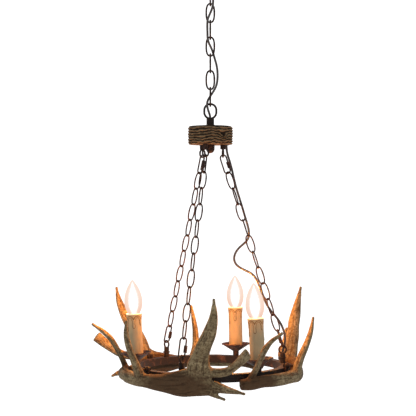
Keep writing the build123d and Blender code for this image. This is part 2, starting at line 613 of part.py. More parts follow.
TALL_TINE = ((-97.5, 170, 305, 22.0, 11.0), (-97.0, 174.5, 284, 20.5, 12.0),
             (-95.5, 180.5, 264, 16.5, 11.6), (-93.4, 187.5, 247, 14.2, 10.6),
             (-90.9, 196, 226, 13.0, 9.6), (-89.4, 203, 210.5, 11.0, 8.2),
             (-88.5, 210, 192.4, 7.8, 6.2), (-88.4, 215, 174, 4.2, 3.8),
             (-88.5, 217.5, 161.4, ANTLER_TIP, ANTLER_TIP))
BLADE_TINE = ((-94.0, 169, 297, 10.0, 7.0), (-86.6, 172.5, 298.6, 8.8, 6.5),
              (-80.8, 188.5, 294.3, 8.2, 5.6), (-77.3, 208, 280.7, 8.8, 5.0),
              (-74.8, 225, 265.6, 10.5, 4.8), (-73.6, 234.5, 256.8, 11.4, 4.4))
LOWER_TINE = ((-93.0, 169, 322, 11.0, 8.0), (-85.5, 174, 325.5, 10.0, 7.4),
              (-79.7, 187, 329, 6.6, 5.6), (-75.2, 194.5, 331.7, 4.4, 3.8),
              (-71.9, 199.8, 334.6, ANTLER_TIP, ANTLER_TIP))
FOOT_TINE = ((-93.5, 170, 329, 9.0, 8.0), (-89.0, 174, 337, 5.6, 5.4),
             (-84.9, 177.7, 342.8, 3.4, 3.4), (-81.5, 180, 346.5, ANTLER_TIP, ANTLER_TIP))
# Where the two fixings of antler a stand, in degrees
FIXINGS = (220.4, -97.5)


def stations_of(table):
    """Turn a table of tine sizes into points and half sizes."""
    return [(antler_point(a, r, d), wide, thin) for a, r, d, wide, thin in table]


def antler():
    """One casting in the place of antler a, with its two seats and screw holes."""
    up = Vector(0, 0, 1)
    sideways = Vector(1, 0, 0)
    body = horn(stations_of(BEAM), up)
    for table, way in ((BROW_TINE, sideways), (SECOND_TINE, sideways), (TALL_TINE, sideways),
                       (BLADE_TINE, up), (LOWER_TINE, up), (FOOT_TINE, up)):
        body += horn(stations_of(table), way)
    for angle in FIXINGS:
        outward = around(angle, 0, RING_TOP + ARM_RISE) * Rot(0, 90, 0)
        body -= outward * rod(SEAT_DIAMETER, SEAT_RADIUS - 20, SEAT_RADIUS)
        hole = rod(SCREW_SHANK + 2 * SHAFT_FIT, SEAT_RADIUS - 1, SEAT_RADIUS + SCREW_BITE + 0.5)
        body -= outward * hole
    return body


def arm(angle):
    """Standoff arm: a slanted rod off the ring, a ball, and a boss to the antler's seat."""
    middle = RING_OUTER + ARM_REACH
    outward = Pos(0, 0, ARM_RISE) * Rot(0, 90, 0)
    root = Vector(RING_OUTER - RING_WALL / 2, 0, -RING_HEIGHT * 0.55)
    reach = Vector(middle, 0, ARM_RISE) - root
    slant = Plane(origin=root, z_dir=reach) * Cylinder(
        ARM_DIAMETER / 2, reach.length, align=(Align.CENTER, Align.CENTER, Align.MIN))
    body = Pos(middle, 0, ARM_RISE) * Sphere(ARM_BALL / 2) + slant
    body += outward * rod(ARM_BOSS, middle, SEAT_RADIUS)
    flat = middle - ARM_FLAT
    head_floor = ARM_RISE - SCREW_HEAD / 2 - FREE_FIT
    body -= Pos(flat - ARM_BALL, 0, head_floor + ARM_BALL) * Box(2 * ARM_BALL, 2 * ARM_BALL, 2 * ARM_BALL)
    body -= outward * rod(SCREW_SHANK + 2 * SHAFT_FIT, RING_INNER, SEAT_RADIUS + 1)
    body -= rod(2 * RING_OUTER, -2 * RING_HEIGHT, 0)
    return around(angle, 0, RING_TOP) * body


def arm_screw(angle):
    """Screw with a flat round head that holds the antler to its arm."""
    flat = RING_OUTER + ARM_REACH - ARM_FLAT
    screw = rod(SCREW_SHANK, flat - 1, SEAT_RADIUS + SCREW_BITE)
    screw += rod(SCREW_HEAD, flat - SCREW_HEAD_HEIGHT, flat)
    return around(angle, 0, RING_TOP + ARM_RISE) * Rot(0, 90, 0) * screw


# ------------------------------------------------------------------ cords
MAIN_CORD_ROUTE = (
    (0.0, 0.0, -30.0), (0.3, -0.2, -39.5), (4.6, -2.6, -48.0), (6.0, -6.2, -57.5), (5.8, -6.0, -69.0),
    (5.6, -5.6, -81.0), (5.0, -5.8, -91.5), (1.6, -6.0, -101.5), (-2.2, -6.0, -110.0),
    (-5.6, -5.8, -118.5), (-6.0, -5.0, -130.5), (-5.6, -4.8, -143.0), (-5.4, -5.2, -155.0),
    (-2.8, -2.8, -164.0), (2.4, 2.4, -173.0), (5.8, 5.6, -182.5), (8.8, 6.2, -193.0),
    (12.0, 5.2, -204.0), (14.0, 3.0, -216.0), (14.4, 0.4, -228.5), (13.4, -2.2, -240.5),
    (10.4, -4.4, -250.5), (5.4, -4.2, -259.0), (0.2, -1.6, -266.5), (-4.6, -3.4, -274.0),
    (-6.6, -6.6, -282.0), (-5.6, -6.4, -290.0), (-3.0, -3.8, -297.5), (-0.6, -0.9, -304.5),
    (-0.1, -0.1, -311.0), (0.0, 0.0, -317.5))
SIDE_CORD_ROUTE = (
    (31.6, 11.4, -352.0), (31.6, 11.5, -363.5), (33.0, 12.0, -378.0), (38.4, 13.0, -394.0),
    (43.0, 13.0, -411.0), (46.4, 12.2, -427.5), (50.2, 12.4, -443.0), (55.4, 13.0, -460.0),
    (61.2, 14.0, -478.0), (66.4, 14.8, -496.0), (71.8, 16.2, -513.0), (75.8, 19.0, -527.5),
    (76.8, 23.4, -539.5), (72.8, 25.8, -549.5), (64.4, 25.6, -557.0), (55.0, 24.0, -565.0),
    (48.2, 21.8, -575.5), (46.4, 20.2, -586.5), (50.2, 19.4, -596.0), (58.4, 19.4, -602.5),
    (68.2, 20.2, -607.5), (77.6, 21.4, -611.8), (86.0, 22.6, -618.0), (92.4, 23.4, -628.0),
    (97.2, 23.2, -640.0), (102.0, 23.0, -652.5), (106.6, 23.6, -665.0), (112.2, 26.2, -677.0),
    (119.2, 29.6, -687.5), (127.2, 31.8, -697.0), (135.0, 32.6, -706.5), (141.6, 32.4, -717.5),
    (146.2, 32.2, -730.0), (148.4, 32.6, -743.0), (147.6, 33.6, -755.0), (144.4, 34.9, -766.0),
    (141.0, 35.8, -775.5), (139.5, 36.0, -784.5), (139.44, 35.95, -792.5))


def cord(route, diameter, name):
    """Tube along straight runs joined by arcs as large as the runs allow."""
    points = [Vector(*place) for place in route]
    radii = []
    for before, here, after in zip(points, points[1:], points[2:]):
        run_in = here - before
        run_out = after - here
        turn = math.radians(run_in.get_angle(run_out))
        radii.append(0.45 * min(run_in.length, run_out.length) / math.tan(turn / 2))
    path = FilletPolyline(*points, radius=radii)
    section = Plane(origin=points[0], z_dir=points[1] - points[0]) * Circle(diameter / 2)
    tube = sweep(section, path)
    expected = math.pi * (diameter / 2) ** 2 * path.length
    print(f"{name}: length {path.length:.1f}, volume {tube.volume:.0f} of {expected:.0f}, radii",
          " ".join(f"{radius:.0f}" for radius in radii))
    return tube


# ------------------------------------------------------------------ build and write
export(ceiling_bracket(), "ceiling_bracket")
export(stem_locknut(), "stem_locknut")
export(terminal_block(), "terminal_block")
export(rose_cup(), "rose_cup")
export(rose_nut(), "rose_nut")
export(rose_loop(), "rose_loop")

main_link = oval(MAIN_LINK_LENGTH, MAIN_LINK_WIDTH, MAIN_LINK_WIRE)
for number in range(MAIN_LINKS):
    middle = FIRST_LINK_TOP - number * MAIN_PITCH - MAIN_REACH / 2
    quarter = 90 if number % 2 == 0 else 0
    export(Pos(0, 0, middle) * Rot(0, 0, quarter) * main_link, f"main_link_{number + 1}")
export(cord(MAIN_CORD_ROUTE, CORD_DIAMETER, "main_cord"), "main_cord")

export(hub_loop(), "hub_loop")
export(hub_log(), "hub_log")
export(hub_washer(), "hub_washer")
export(hub_dome_nut(), "hub_dome_nut")
export_group([around(angle, HUB_EYE_RADIUS, HUB_BOTTOM) * hub_eyebolt()
              for angle in CHAIN_ANGLES.values()], "hub_eyebolts")
hub_cord_place = Pos(SIDE_CORD_HUB_PLACE[0], SIDE_CORD_HUB_PLACE[1], HUB_BOTTOM)
export(hub_cord_place * grommet(GROMMET_LENGTH), "cord_grommet")

for letter, angle in CHAIN_ANGLES.items():
    top_place = down_chain(angle, TOP_QUICK_START + QUICK_REACH / 2, TOP_QUICK_TURNS[letter])
    foot_place = down_chain(angle, FOOT_QUICK_START + QUICK_REACH / 2, FOOT_QUICK_TURNS[letter])
    export(top_place * quick_link(), f"top_quick_link_{letter}")
    export(top_place * quick_nut(), f"top_quick_nut_{letter}")
    export_group(side_chain(letter), f"side_chain_{letter}")
    export(foot_place * quick_link(), f"foot_quick_link_{letter}")
    export(foot_place * quick_nut(), f"foot_quick_nut_{letter}")
export(cord(SIDE_CORD_ROUTE, CORD_DIAMETER, "side_cord"), "side_cord")

channel = ring()
export(channel, "ring")
eye_places = [around(angle, RING_RADIUS, RING_TOP) for angle in CHAIN_ANGLES.values()]
export_group([place * ring_eyebolt() for place in eye_places], "ring_eyebolts")
lamp_numbers = range(len(LAMP_ANGLES))
ring_nuts = [place * ring_eye_nut() for place in eye_places]
export_group(ring_nuts + [lamp_nut(number) for number in lamp_numbers], "ring_nuts")
export(ring_wiring(), "ring_wiring")
ring_cord_place = around(SIDE_CORD_RING_ANGLE, RING_RADIUS, RING_TOP) * Rot(180, 0, 0)
export(ring_cord_place * grommet(RING_WALL + 1.0), "ring_grommet")

export_group([lamp_neck(number, channel) for number in lamp_numbers], "lamp_necks")
export_group([lamp_place(number) * lampholder() for number in lamp_numbers], "lampholders")
for number in lamp_numbers:
    export(lamp_place(number) * drip_pan(), f"drip_pan_{number + 1}")
    export(lamp_place(number) * candle(), f"candle_{number + 1}")
    export(lamp_place(number) * bulb_cap(), f"bulb_cap_{number + 1}")
    export(lamp_place(number) * bulb_glass(), f"bulb_glass_{number + 1}")

casting = antler()
for letter, turn in ANTLER_TURNS.items():
    export(Rot(0, 0, turn) * casting, f"antler_{letter}")
fixings = [angle + turn for turn in ANTLER_TURNS.values() for angle in FIXINGS]
export_group([arm(angle) for angle in fixings], "antler_arms")
export_group([arm_screw(angle) for angle in fixings], "antler_screws")

print("levels: hub top", round(HUB_TOP, 2), "hub bottom", round(HUB_BOTTOM, 2),
      "ring top", round(RING_TOP, 2), "chain slope", round(CHAIN_SLOPE, 2))
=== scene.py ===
"""Antler chandelier: the dressed model, its cords, its studio and its camera."""
from __future__ import annotations

import logging
import math
from dataclasses import dataclass, field
from enum import Enum
from typing import Any, Callable, Optional, Sequence, Union

import bpy
import numpy as np
from mathutils import Matrix, Vector, noise


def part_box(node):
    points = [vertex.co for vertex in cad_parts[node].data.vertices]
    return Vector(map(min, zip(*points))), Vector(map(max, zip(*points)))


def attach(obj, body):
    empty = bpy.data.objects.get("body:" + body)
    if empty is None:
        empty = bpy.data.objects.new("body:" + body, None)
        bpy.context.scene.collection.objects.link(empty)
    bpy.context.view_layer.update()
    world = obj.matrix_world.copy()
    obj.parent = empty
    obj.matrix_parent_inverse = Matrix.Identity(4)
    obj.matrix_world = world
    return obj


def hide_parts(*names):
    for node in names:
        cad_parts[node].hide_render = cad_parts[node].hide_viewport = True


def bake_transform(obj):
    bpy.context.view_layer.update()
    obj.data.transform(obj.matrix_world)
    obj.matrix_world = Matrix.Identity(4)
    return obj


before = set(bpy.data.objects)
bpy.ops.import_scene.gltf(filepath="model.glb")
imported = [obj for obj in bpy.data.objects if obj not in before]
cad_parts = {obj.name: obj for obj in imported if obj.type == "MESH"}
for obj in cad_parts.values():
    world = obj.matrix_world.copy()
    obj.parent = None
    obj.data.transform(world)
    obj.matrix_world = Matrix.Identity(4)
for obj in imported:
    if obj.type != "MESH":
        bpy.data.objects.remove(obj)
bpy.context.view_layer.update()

logging.basicConfig(level=logging.INFO, format="%(message)s")
log = logging.getLogger("chandelier")

MM = 0.001                # metres in a millimetre
RING_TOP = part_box("ring")[1][2] / MM
RING_RADIUS = 144.0       # middle of the channel, where the lamps stand
ANTLER_DATUM = 305.0      # above the ring's top, where the antlers' depths are measured from
HUB_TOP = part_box("hub_log")[1][2] / MM
HUB_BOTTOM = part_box("hub_log")[0][2] / MM

Point = tuple[float, float, float]
Colour = Point
Profile = Sequence[tuple[float, float]]
Shape = tuple[np.ndarray, list[tuple[int, ...]]]


class Body(Enum):
    """The moving bodies that pieces ride on."""

    CEILING = "ceiling_mount"
    CHAIN = "main_chain"
    HUB = "hub"
    RING = "ring_frame"


class Plane(Enum):
    """Which way a flat link faces, as its turn about its own length in degrees."""

    RADIAL = 0.0
    SQUARE = 90.0


# --------------------------------------------------------------------------- shader maths
class Wire:
    """An output socket that can be used in arithmetic; each operation adds a Math node."""

    def __init__(self, brush: "Brush", socket: bpy.types.NodeSocket) -> None:
        """Keep the socket and the material that it belongs to.

        Args:
            brush: The material being made.
            socket: The output socket that is wrapped.
        """
        self.brush = brush
        self.socket = socket

    def _maths(self, operation: str, first: Any, second: Any) -> "Wire":
        """Add one Math node.

        Args:
            operation: The Math node's operation.
            first: First value or wire.
            second: Second value or wire.

        Returns:
            The result as a wire.
        """
        return self.brush.node("ShaderNodeMath", {"operation": operation}, {0: first, 1: second})

    def __add__(self, other: Any) -> "Wire":
        """Sum."""
        return self._maths("ADD", self, other)

    def __radd__(self, other: Any) -> "Wire":
        """Sum with the wire on the right."""
        return self._maths("ADD", other, self)

    def __sub__(self, other: Any) -> "Wire":
        """Difference."""
        return self._maths("SUBTRACT", self, other)

    def __rsub__(self, other: Any) -> "Wire":
        """Difference with the wire on the right."""
        return self._maths("SUBTRACT", other, self)

    def __mul__(self, other: Any) -> "Wire":
        """Product."""
        return self._maths("MULTIPLY", self, other)

    def __rmul__(self, other: Any) -> "Wire":
        """Product with the wire on the right."""
        return self._maths("MULTIPLY", other, self)

    def clipped(self) -> "Wire":
        """The value held between 0 and 1."""
        return self._maths("MAXIMUM", self._maths("MINIMUM", self, 1.0), 0.0)

    def between(self, low: float, high: float) -> "Wire":
        """A smooth step from 0 at low to 1 at high."""
        return self.brush.node("ShaderNodeMapRange", {"interpolation_type": "SMOOTHSTEP"},
                               {"Value": self, "From Min": low, "From Max": high})


class Brush:
    """One material in the making, with a single way to add any node."""

    def __init__(self, name: str) -> None:
        """Start an empty node tree.

        Args:
            name: The material's name.
        """
        self.material = bpy.data.materials.new(name)
        self.material.use_nodes = True
        self.tree = self.material.node_tree
        self.tree.nodes.clear()

    def node(self, kind: str, settings: Optional[dict[str, Any]] = None,
             sockets: Optional[dict[Union[int, str], Any]] = None, output: Union[int, str] = 0) -> Wire:
        """Add a node, set it up, then fill its sockets.

        Args:
            kind: Blender's name for the node type.
            settings: Properties set first; "stops" fills a colour ramp.
            sockets: Values or wires by socket name or number.
            output: The output wanted.

        Returns:
            The chosen output as a wire, or the node's last input where it has no output.
        """
        made = self.tree.nodes.new(kind)
        for key, value in (settings or {}).items():
            if key == "stops":
                ramp = made.color_ramp
                while len(ramp.elements) < len(value):
                    ramp.elements.new(0.5)
                for element, (place, colour) in zip(ramp.elements, value):
                    element.position = place
                    element.color = (*colour, 1.0)
            else:
                setattr(made, key, value)
        for key, value in (sockets or {}).items():
            socket = made.inputs[key]
            if isinstance(value, Wire):
                self.tree.links.new(value.socket, socket)
            elif isinstance(value, tuple) and len(value) == 3 and socket.type == "RGBA":
                socket.default_value = (*value, 1.0)
            else:
                socket.default_value = value
        return Wire(self, made.outputs[output] if made.outputs else made.inputs[-1])

    def place(self) -> Wire:
        """Position on the object in metres."""
        return self.node("ShaderNodeTexCoord", output="Object")

    def attribute(self, name: str, output: str = "Vector") -> Wire:
        """A value stored on the mesh."""
        return self.node("ShaderNodeAttribute", {"attribute_name": name}, output=output)

    def stretched(self, where: Wire, scale: Point) -> Wire:
        """A position scaled differently along each axis."""
        return self.node("ShaderNodeVectorMath", {"operation": "MULTIPLY"}, {0: where, 1: scale})

    def speckle(self, where: Wire, scale: float, detail: float = 3.0, twist: float = 0.0) -> Wire:
        """Noise between about 0.3 and 0.7."""
        return self.node("ShaderNodeTexNoise", {}, {"Vector": where, "Scale": scale, "Detail": detail,
                                                    "Roughness": 0.6, "Distortion": twist})

    def blend(self, amount: Any, low: Any, high: Any) -> Wire:
        """Mix two colours.

        Args:
            amount: How much of the second colour.
            low: First colour.
            high: Second colour.

        Returns:
            The mixed colour.
        """
        return self.node("ShaderNodeMix", {"data_type": "RGBA"}, {0: amount, 6: low, 7: high}, output=2)

    def bump(self, height: Wire, depth: float, strength: float) -> Wire:
        """The normal over a relief whose full step is depth metres."""
        return self.node("ShaderNodeBump", {}, {"Height": height, "Distance": depth, "Strength": strength})

    def surface(self, **sockets: Any) -> bpy.types.Material:
        """Finish with one Principled shader.

        Args:
            **sockets: Principled sockets, with underscores for spaces.

        Returns:
            The material.
        """
        named = {key.replace("_", " "): value for key, value in sockets.items()}
        shader = self.node("ShaderNodeBsdfPrincipled", {}, named)
        self.node("ShaderNodeOutputMaterial", {}, {"Surface": shader})
        return self.material


# --------------------------------------------------------------------------- finishes
@dataclass(frozen=True)
class AgedIron:
    """Dark painted iron with brown rubbed through in patches and a fine sand-cast grain."""

    name: str = "aged iron"
    dark: Colour = (0.009, 0.0055, 0.0045)
    brown: Colour = (0.060, 0.025, 0.014)
    share: float = 0.55
    patch: float = 95.0
    grain: float = 900.0
    depth: float = 0.0006
    worn: Colour = (0.085, 0.04, 0.022)

    def make(self) -> bpy.types.Material:
        """Build the finish.

        Returns:
            The material.
        """
        b = Brush(self.name)
        where = b.place()
        patches = b.speckle(where, self.patch, 4.0, 0.6)
        fine = b.speckle(where, self.grain, 2.0)
        rubbed = (patches + (fine - 0.5) * 0.35).between(self.share, self.share + 0.16)
        colour = b.blend(rubbed, self.dark, self.brown)
        colour = b.blend(fine.between(0.56, 0.72) * 0.4, colour, self.worn)
        rough = 0.48 + 0.3 * patches
        pits = b.speckle(where, 330.0, 3.0)
        return b.surface(Base_Color=colour, Metallic=0.1, Roughness=rough, Specular_IOR_Level=0.16,
                         Normal=b.bump(fine * 0.35 + pits, self.depth, 0.6))


@dataclass(frozen=True)
class PlatedMetal:
    """Bright plated or drawn metal with fine brushing."""

    name: str
    tint: Colour
    rough: float = 0.32

    def make(self) -> bpy.types.Material:
        """Build the finish.

        Returns:
            The material.
        """
        b = Brush(self.name)
        where = b.place()
        fine = b.speckle(b.stretched(where, (1.0, 1.0, 6.0)), 700.0, 2.0)
        dull = b.speckle(where, 60.0, 3.0)
        colour = b.blend(dull.between(0.4, 0.7) * 0.5, self.tint, tuple(0.62 * c for c in self.tint))
        return b.surface(Base_Color=colour, Metallic=0.9, Roughness=self.rough + 0.2 * dull,
                         Normal=b.bump(fine, 0.0001, 0.4))


@dataclass(frozen=True)
class Moulded:
    """Moulded plastic or rubber with a faint texture."""

    name: str
    tint: Colour
    rough: float = 0.5
    depth: float = 0.00008

    def make(self) -> bpy.types.Material:
        """Build the finish.

        Returns:
            The material.
        """
        b = Brush(self.name)
        where = b.place()
        fine = b.speckle(where, 1400.0, 2.0)
        cloud = b.speckle(where, 45.0, 2.0)
        colour = b.blend(cloud.between(0.35, 0.7) * 0.35, self.tint, tuple(0.7 * c for c in self.tint))
        return b.surface(Base_Color=colour, Roughness=self.rough + 0.15 * fine,
                         Normal=b.bump(fine, self.depth, 0.5))


@dataclass(frozen=True)
class AntlerStain:
    """Cast antler: olive-grey with brown palms, dark grooves and pale rubbed ridges."""

    name: str = "stained cast antler"
    olive: Colour = (0.128, 0.098, 0.054)
    pale: Colour = (0.208, 0.165, 0.096)
    brown: Colour = (0.046, 0.025, 0.013)
    groove: Colour = (0.020, 0.010, 0.005)

    def make(self) -> bpy.types.Material:
        """Build the finish from the straightened grain stored on the mesh.

        Returns:
            The material.
        """
        b = Brush(self.name)
        grain = b.attribute("grain")
        relief = b.attribute("relief", "Fac")
        palm = b.attribute("palm", "Fac")
        where = b.place()
        streaks = b.speckle(b.stretched(grain, (1.0, 1.0, 0.22)), 300.0, 5.0, 0.5)
        broad = b.speckle(where, 62.0, 4.0, 0.8)
        cloud = b.speckle(where, 30.0, 3.0, 0.4)
        mottle = b.speckle(where, 250.0, 4.0, 0.3)
        fleck = b.speckle(where, 640.0, 3.0)
        colour = b.blend(broad.between(0.40, 0.68), self.olive, self.pale)
        stained = (palm * 1.25 + (cloud - 0.5) * 0.9 + (broad - 0.5) * 0.6).between(0.14, 0.72)
        colour = b.blend(stained * 0.94, colour, self.brown)
        colour = b.blend(mottle.between(0.44, 0.62) * 0.66, colour, self.brown)
        colour = b.blend((1 - relief).between(0.48, 0.90) * 0.60, colour, self.groove)
        colour = b.blend(streaks.between(0.53, 0.68) * 0.58, colour, self.groove)
        colour = b.blend(fleck.between(0.60, 0.74) * 0.30, colour, self.pale)
        height = streaks * 0.6 + mottle * 0.6 + fleck * 0.35
        return b.surface(Base_Color=colour, Roughness=0.66 + 0.2 * mottle, Specular_IOR_Level=0.06,
                         Normal=b.bump(height, 0.0016, 0.9))


@dataclass(frozen=True)
class LogCarving:
    """Carved and painted bark: dark grooves and dry-brushed ridges."""

    name: str = "carved log"
    groove: Colour = (0.009, 0.005, 0.0035)
    middle: Colour = (0.050, 0.031, 0.017)
    ridge: Colour = (0.112, 0.080, 0.045)

    def make(self) -> bpy.types.Material:
        """Build the finish.

        Returns:
            The material.
        """
        b = Brush(self.name)
        relief = b.attribute("relief", "Fac")
        where = b.place()
        fibres = b.speckle(b.stretched(where, (1.0, 1.0, 7.0)), 190.0, 5.0, 0.7)
        cloud = b.speckle(where, 60.0, 3.0)
        lift = (relief + (fibres - 0.5) * 0.55).clipped()
        colour = b.node("ShaderNodeValToRGB", {"stops": [(0.0, self.groove), (0.42, self.middle),
                                                         (0.78, self.ridge), (1.0, self.ridge)]}, {0: lift})
        colour = b.blend(cloud.between(0.5, 0.75) * 0.5, colour, self.middle)
        return b.surface(Base_Color=colour, Roughness=0.66 + 0.2 * fibres, Specular_IOR_Level=0.06,
                         Normal=b.bump(fibres, 0.0014, 0.9))


@dataclass(frozen=True)
class Wax:
    """Waxy cream sleeve with painted shade along the drips' edges and arch lines, dust specks, and a painted
    highlight and glow towards the top.
    """

    name: str = "candle wax"
    body: Colour = (0.235, 0.180, 0.105)
    warm: Colour = (0.290, 0.215, 0.120)
    # paler top rim: a painted highlight where the lamp's light blows the lip out
    lip: Colour = (0.62, 0.50, 0.34)
    # dark brown used both for dust specks and for painted shade along the drips' edges and arch lines
    dust_and_crease_shade: Colour = (0.034, 0.017, 0.009)
    # emission colours: painted glow of lamp light through the wax, brightest at the lip
    lit: Colour = (0.75, 0.22, 0.02)
    lit_lip: Colour = (2.6, 2.0, 1.2)

    def make(self) -> bpy.types.Material:
        """Build the finish.

        Returns:
            The material.
        """
        b = Brush(self.name)
        crease = b.attribute("crease", "Fac")
        height = b.attribute("height", "Fac")
        where = b.place()
        cloud = b.speckle(b.stretched(where, (1.0, 1.0, 0.35)), 70.0, 4.0, 0.4)
        dust = b.speckle(where, 520.0, 3.0)
        colour = b.blend(cloud.between(0.38, 0.68), self.body, self.warm)
        # painted highlight on the top rim
        colour = b.blend(height.between(0.965, 0.99), colour, self.lip)
        # painted shade: darkens the edges of the raised drips and the incised arch lines
        colour = b.blend((crease + (dust - 0.5) * 0.2).between(0.25, 0.8) * 0.90, colour, self.dust_and_crease_shade)
        colour = b.blend(dust.between(0.64, 0.76) * 0.3, colour, self.dust_and_crease_shade)
        # painted glow: the wax is made to shine orange towards the top and bright at the lip, as if lit
        # through from the bulb
        glow = b.blend(height.between(0.55, 0.97), (0.0, 0.0, 0.0), self.lit)
        glow = b.blend(height.between(0.972, 0.992), glow, self.lit_lip)
        return b.surface(Base_Color=colour, Roughness=0.52 + 0.15 * cloud, Specular_IOR_Level=0.12,
                         Emission_Color=glow, Emission_Strength=0.2,
                         Normal=b.bump(cloud + dust * 0.3, 0.0003, 0.4))


@dataclass(frozen=True)
class LampGlass:
    """Lit lamp glass: peach where it turns away, clear where it faces the eye."""

    name: str = "lamp glass"
    peach: Colour = (0.965, 0.76, 0.64)
    blush: Colour = (0.93, 0.60, 0.47)
    clear: Colour = (1.0, 0.93, 0.88)

    def make(self) -> bpy.types.Material:
        """Build the finish.

        Returns:
            The material.
        """
        b = Brush(self.name)
        height = b.attribute("height", "Fac")
        turned = b.node("ShaderNodeLayerWeight", {}, {"Blend": 0.5}, output="Facing")
        rim = turned.between(0.03, 0.30)
        warm = b.blend(height.between(0.0, 0.75), self.blush, self.peach)
        warm = b.blend(rim, self.clear, warm)
        return b.surface(Base_Color=(0.0, 0.0, 0.0), Roughness=0.3, Specular_IOR_Level=0.0,
                         Alpha=0.06 + 0.92 * rim, Emission_Color=warm, Emission_Strength=1.0)


@dataclass(frozen=True)
class LampGlow:
    """The white heart of a lit lamp."""

    name: str = "lamp glow"
    foot: Colour = (1.0, 0.86, 0.70)
    white: Colour = (1.0, 0.98, 0.95)
    strength: float = 1.6

    def make(self) -> bpy.types.Material:
        """Build the finish.

        Returns:
            The material.
        """
        b = Brush(self.name)
        height = b.attribute("height", "Fac")
        colour = b.blend(height.between(0.0, 0.3), self.foot, self.white)
        return b.surface(Base_Color=(0.0, 0.0, 0.0), Specular_IOR_Level=0.0, Emission_Color=colour,
                         Emission_Strength=self.strength)


@dataclass(frozen=True)
class StudioPaper:
    """Pale matt backdrop."""

    name: str = "studio paper"
    tint: Colour = (0.93, 0.93, 0.93)
    shade: Colour = (0.9, 0.9, 0.9)
    lift: float = 0.30

    def make(self) -> bpy.types.Material:
        """Build the finish.

        Returns:
            The material.
        """
        b = Brush(self.name)
        fine = b.speckle(b.place(), 30.0, 2.0)
        colour = b.blend(fine * 0.2, self.tint, self.shade)
        return b.surface(Base_Color=colour, Roughness=0.9, Emission_Color=(1.0, 1.0, 1.0),
                         Emission_Strength=self.lift)


class Paints:
    """Every finish, each made once."""

    def __init__(self) -> None:
        """Make the finishes."""
        self.iron = AgedIron().make()
        self.chain = AgedIron("chain iron", dark=(0.010, 0.0045, 0.0036), brown=(0.056, 0.020, 0.011),
                              share=0.50, patch=160.0, grain=1200.0, depth=0.0003).make()
        self.pan = AgedIron("drip pan iron", dark=(0.022, 0.010, 0.007), brown=(0.105, 0.042, 0.022),
                            share=0.44, patch=120.0, depth=0.0005).make()
        self.ring = AgedIron("ring iron", dark=(0.007, 0.0045, 0.0038), brown=(0.058, 0.026, 0.015),
                             share=0.57, patch=55.0, depth=0.0004).make()
        self.zinc = PlatedMetal("zinc plate", (0.60, 0.60, 0.57)).make()
        self.shell = PlatedMetal("lamp cap shell", (0.72, 0.71, 0.67), 0.25).make()
        self.sheath = Moulded("cord sheath", (0.020, 0.013, 0.011), 0.36).make()
        self.rubber = Moulded("grommet rubber", (0.022, 0.020, 0.019), 0.6).make()
        self.ivory = Moulded("lampholder moulding", (0.72, 0.69, 0.62), 0.4).make()
        self.block = Moulded("terminal moulding", (0.80, 0.79, 0.76), 0.3).make()
        self.antler = AntlerStain().make()
        self.log = LogCarving().make()
        self.wax = Wax().make()
        self.glass = LampGlass().make()
        self.glow = LampGlow().make()
        self.paper = StudioPaper().make()


# --------------------------------------------------------------------------- mesh making
def solid(name: str, points: np.ndarray, faces: Sequence[Sequence[int]], finish: bpy.types.Material,
          place: Optional[Matrix] = None) -> bpy.types.Object:
    """Make an object from points in millimetres.

    Args:
        name: The piece's name.
        points: An array of points in its own frame.
        faces: Index lists.
        finish: Its material.
        place: Where the frame stands in the chandelier, in millimetres.

    Returns:
        The new object, with its place in its mesh.
    """
    mesh = bpy.data.meshes.new(name)
    mesh.from_pydata([tuple(p) for p in points], [], [tuple(f) for f in faces])
    if place is not None:
        mesh.transform(place)
    mesh.transform(Matrix.Scale(MM, 4))
    mesh.polygons.foreach_set("use_smooth", [True] * len(mesh.polygons))
    mesh.materials.append(finish)
    mesh.update()
    made = bpy.data.objects.new(name, mesh)
    bpy.context.scene.collection.objects.link(made)
    return made


def store(piece: bpy.types.Object, name: str, values: np.ndarray) -> None:
    """Store one value or one vector per vertex for the piece's finish to read.

    Args:
        piece: The mesh object.
        name: The attribute's name.
        values: An array with one row per vertex.
    """
    kind, key = ("FLOAT_VECTOR", "vector") if values.ndim == 2 else ("FLOAT", "value")
    attribute = piece.data.attributes.new(name, kind, "POINT")
    attribute.data.foreach_set(key, values.astype(np.float32).ravel())


def band_faces(rows: int, columns: int, closed_rows: bool = False) -> list[tuple[int, ...]]:
    """Quads of a grid whose columns close on themselves.

    Args:
        rows: Rings of points.
        columns: Points in a ring.
        closed_rows: Whether the last ring joins the first.

    Returns:
        The faces.
    """
    faces = []
    for row in range(rows if closed_rows else rows - 1):
        up = (row + 1) % rows
        for column in range(columns):
            side = (column + 1) % columns
            faces.append((row * columns + column, row * columns + side, up * columns + side,
                          up * columns + column))
    return faces


